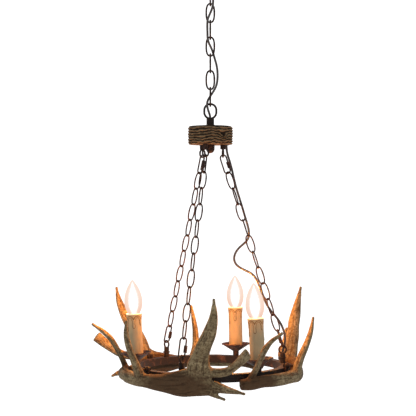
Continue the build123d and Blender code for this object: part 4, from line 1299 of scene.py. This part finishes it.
# --------------------------------------------------------------------------- lamps
@dataclass
class Lamp:
    """Drip pan, wax sleeve and lit bulb of one lamp, in its own leaning frame."""

    number: int
    angle: float
    lean: float
    seed: float
    phase: float
    foot: float = 10.0
    pan_top: float = 24.5
    pan_bore: float = 4.1
    pan_neck: float = 6.5
    pan_edge: float = 28.2
    pan_roll: float = 1.25
    pan_wall: float = 1.6
    notches: int = 22
    candle_base: float = 16.2
    candle_top: float = 101.0
    radius: float = 13.9
    wax_lift: float = 1.35
    inside: Profile = ((12.45, -0.4), (12.35, -3.0), (12.32, -14.0), (12.32, -84.8))
    arch_centre: float = 11.6
    arch_radius: float = 4.3
    arch_line: float = 2.4
    runs: tuple[tuple[float, float], ...] = (
        (23.0, 2.5), (18.0, 2.3), (41.0, 2.2), (25.0, 2.4), (46.0, 2.3), (30.0, 2.4))
    cap_drop: float = 12.0
    glass: Profile = ((6.4, -12.0), (6.9, -10.5), (8.6, -6.0), (11.45, 0.0), (15.75, 10.0), (17.45, 21.0),
                      (16.0, 35.0), (11.5, 48.0), (5.4, 58.5), (1.6, 63.6), (0.0, 64.8))
    heart: Profile = ((3.0, -9.0), (4.6, -2.0), (6.6, 8.0), (7.8, 20.0), (7.0, 32.0), (4.2, 44.0),
                      (1.8, 55.0), (0.0, 61.0))
    thread_pitch: float = 2.822
    thread_turns: float = 4.6
    thread_depth: float = 0.32

    @property
    def place(self) -> Matrix:
        """The lamp's frame, in millimetres."""
        turn = math.radians(self.angle)
        foot = shift(RING_RADIUS * math.cos(turn), RING_RADIUS * math.sin(turn), RING_TOP)
        return foot @ rotation("Y", self.lean)

    def build(self, paints: Paints, studio: Studio) -> None:
        """Make every piece of the lamp and light it.

        Args:
            paints: The finishes.
            studio: Lights the lamp.
        """
        self.make_pan(paints)
        self.make_sleeve(paints)
        self.make_bulb(paints)
        self.make_cap(paints)
        middle = self.place @ Vector((0.0, 0.0, self.candle_top + 24.0))
        studio.light_lamp(self.number, middle * MM)

    def make_pan(self, paints: Paints) -> None:
        """Make the cone with its rolled rim, notched all the way round.

        Args:
            paints: The finishes.
        """
        neck, edge, steps = self.pan_neck, self.pan_edge, 9
        slope = (self.pan_top - self.foot) / (edge + 1.2 - neck)
        out = [(edge - neck) * k / steps for k in range(1, steps + 1)]
        rim = self.foot + (edge - neck) * slope
        profile = [(self.pan_bore, self.foot), (neck, self.foot)]
        profile += [(neck + far, self.foot + far * slope) for far in out]
        first = len(profile)
        for turn in map(math.radians, range(-80, 131, 30)):
            profile.append((edge + self.pan_roll * math.cos(turn),
                            rim + self.pan_wall / 2 + self.pan_roll * math.sin(turn)))
        last = len(profile)
        profile += [(edge - far, rim + self.pan_wall - far * slope) for far in out]
        profile.append((self.pan_bore, self.foot + self.pan_wall))

        def notch(angles: np.ndarray, index: int) -> tuple[np.ndarray, np.ndarray]:
            """Press the rim in at each notch and leave the cone slightly uneven.

            Args:
                angles: Round the pan, in radians.
                index: The profile's point.

            Returns:
                Extra radius and extra height.
            """
            uneven = 0.12 * np.sin(3 * angles + self.seed) + 0.08 * np.sin(7 * angles)
            if first <= index < last:
                dent = np.maximum(0.0, np.cos(self.notches * angles + self.seed)) ** 6
                return -0.75 * dent, -0.5 * dent + uneven
            return 0.0 * angles, uneven * (0.4 if 2 <= index < last + 8 else 0.0)

        piece = lathe(f"rolled_pan_{self.number}", profile, paints.pan, self.place, 176, notch, True)
        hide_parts(f"drip_pan_{self.number}")
        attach(piece, Body.RING.value)

    def run_wax(self, angles: np.ndarray, below: np.ndarray) -> tuple[np.ndarray, np.ndarray]:
        """Where wax has run over the sleeve, and where painted shade lies along its edges and the arch lines.

        Args:
            angles: Round the sleeve, in radians.
            below: Distances below the lip, in millimetres, evenly spaced.

        Returns:
            Two grids from 0 to 1, one row for each distance.
        """
        deep, turn = np.meshgrid(below, angles, indexing="ij")
        pitch = 2 * math.pi / len(self.runs)
        across = (((turn - self.phase) / pitch) % 1.0 - 0.5) * pitch * self.radius
        door = np.hypot(across, np.minimum(deep - self.arch_centre, 0.0))
        raised = (door > self.arch_radius) & (deep < self.arch_centre + 2.0)
        for number, (long, half) in enumerate(self.runs):
            at = self.phase + number * pitch
            aside = ((turn - at + math.pi) % (2 * math.pi) - math.pi) * self.radius
            waist = np.where(deep < 19.0, half * (1.0 - 0.018 * deep), 0.95)
            raised |= (np.abs(aside) < waist) & (deep < long)
            raised |= np.hypot(aside, (deep - long) * 0.42) < 0.86 * half
        soft = raised.astype(float)
        for _ in range(4):
            soft = (soft + np.roll(soft, 1, 1) + np.roll(soft, -1, 1)) / 3
            padded = np.pad(soft, ((1, 1), (0, 0)), "edge")
            soft = (padded[:-2] + padded[1:-1] + padded[2:]) / 3
        # mask of painted shade along the edges of the raised wax, joined below by the arch lines
        crease = np.clip(1.35 - np.abs(soft - 0.36) / 0.265, 0.0, 1.0)
        line = np.clip(1.6 - np.abs(door - self.arch_radius - self.arch_line) / 0.75, 0.0, 1.0)
        line *= deep < self.arch_centre
        return soft - 0.4 * line, np.maximum(crease, 0.95 * line)

    def make_sleeve(self, paints: Paints) -> None:
        """Make the wax sleeve with arched drips, an uneven lip and a hollow inside.

        Args:
            paints: The finishes.
        """
        around, rows = 190, 188
        height = self.candle_top - self.candle_base
        angles = np.linspace(0.0, 2 * math.pi, around, endpoint=False)
        c, s = np.cos(angles), np.sin(angles)
        levels = np.linspace(0.0, height, rows)
        rise, drip_edge_shade = self.run_wax(angles, height - levels)
        wide = self.radius + self.wax_lift * rise
        for row, level in enumerate(levels):
            for column in range(around):
                at = Vector((c[column] * 2, s[column] * 2, level * 0.05 + self.seed))
                wide[row, column] += 0.25 * noise.noise(at) - 0.6 * max(0.0, 1.0 - (height - level))
        rings = [(wide[row], self.candle_base + level) for row, level in enumerate(levels)]
        rings += [(radius, self.candle_top + z) for radius, z in self.inside]
        every = np.concatenate([np.stack([r * c, r * s, 0 * c + z], 1) for r, z in rings])
        faces = band_faces(len(rings), around, True)
        piece = solid(f"wax_sleeve_{self.number}", every, faces, paints.wax, self.place)
        store(piece, "crease", np.concatenate([drip_edge_shade.ravel(), np.zeros(len(self.inside) * around)]))
        store(piece, "height", np.clip((every[:, 2] - self.candle_base) / height, 0.0, 1.0))
        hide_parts(f"candle_{self.number}")
        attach(piece, Body.RING.value)

    def make_bulb(self, paints: Paints) -> None:
        """Make the glass and the glowing heart inside it.

        Args:
            paints: The finishes.
        """
        for name, line, finish, around in ((f"flame_glass_{self.number}", self.glass, paints.glass, 56),
                                           (f"lamp_glow_{self.number}", self.heart, paints.glow, 40)):
            raised = finer([(radius, self.candle_top + z) for radius, z in line], 1.6)
            piece = lathe(name, raised, finish, self.place, around)
            piece.visible_shadow = False
            if finish is paints.glass:
                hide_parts(f"bulb_glass_{self.number}")
            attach(piece, f"bulb_{self.number}")

    def make_cap(self, paints: Paints) -> None:
        """Make the screw cap with its contact and rolled thread.

        Args:
            paints: The finishes.
        """
        top = self.candle_top - self.cap_drop
        low = top - 22.0
        profile = [(0.0, low), (2.4, low), (2.4, low + 1.0), (5.2, low + 3.2), (6.2, low + 4.4)]
        first, steps = len(profile), int(self.thread_turns * 12)
        profile += [(6.5, low + 4.6 + self.thread_pitch * k / 12) for k in range(steps)]
        profile += [(6.75, top - 1.6), (6.75, top), (0.0, top)]

        def thread(angles: np.ndarray, index: int) -> tuple[np.ndarray, np.ndarray]:
            """Roll the screw thread into the shell.

            Args:
                angles: Round the cap, in radians.
                index: The profile's point.

            Returns:
                Extra radius and extra height.
            """
            if first <= index < first + steps:
                turned = 2 * math.pi * profile[index][1] / self.thread_pitch - angles
                return self.thread_depth * np.cos(turned), 0.0 * angles
            return 0.0 * angles, 0.0 * angles

        cap = lathe(f"screw_cap_{self.number}", profile, paints.shell, self.place, 48, thread)
        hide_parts(f"bulb_cap_{self.number}")
        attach(cap, f"bulb_carrier_{self.number}")


# --------------------------------------------------------------------------- carried-over pieces
@dataclass(frozen=True)
class Carried:
    """CAD nodes that keep their shape and take a finish by the start of their name."""

    starts: tuple[str, ...]
    paint: str


CARRIED = (
    Carried(("ceiling_bracket", "stem_locknut"), "zinc"),
    Carried(("terminal_block",), "block"),
    Carried(("cord_grommet", "ring_grommet"), "rubber"),
    Carried(("lampholders",), "ivory"),
    Carried(("ring_wiring",), "sheath"),
    Carried(("top_quick", "foot_quick"), "chain"),
    Carried(("ring", "ring_nuts"), "ring"),
    Carried(("",), "iron"),
)


def dress_nodes(paints: Paints) -> None:
    """Give every shown CAD node its finish.

    Args:
        paints: The finishes.
    """
    for name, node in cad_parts.items():
        for group in CARRIED:
            if any(name.startswith(start) for start in group.starts):
                for slot in node.material_slots:
                    slot.material = getattr(paints, group.paint)
                break


def main() -> None:
    """Build the chandelier piece by piece."""
    studio = Studio()
    studio.set_camera()
    paints = Paints()
    for cord in (MAIN_CORD, SIDE_CORD):
        cord.build(paints)
        log.info("cord %s", cord.name)
    studio.set_light()
    studio.set_floor(paints)
    dress_nodes(paints)
    MainChain().build(paints)
    for chain in (SideChain("a", 128.3), SideChain("b", 248.3),
                  SideChain("c", 8.3, (144.0, 66.0, 156.0, 80.0, 168.0, 99.0, 18.0, 150.0, 47.0, 142.0))):
        chain.build(paints)
        log.info("side chain %s", chain.letter)
    CarvedHub().build(paints)
    log.info("carved hub")
    for letter, turn, seed in (("a", 0.0, 3.1), ("b", 120.0, 11.7), ("c", 240.0, 23.9)):
        Antler(letter, turn, seed).build(paints)
        log.info("antler %s", letter)
    for lamp in (Lamp(1, 188.3, -3.0, 0.4, -1.605), Lamp(2, 68.3, -0.8, 1.9, -1.651),
                 Lamp(3, 308.3, -3.1, 3.0, -1.777)):
        lamp.build(paints, studio)
        log.info("lamp %d", lamp.number)


if __name__ == "__main__":
    main()
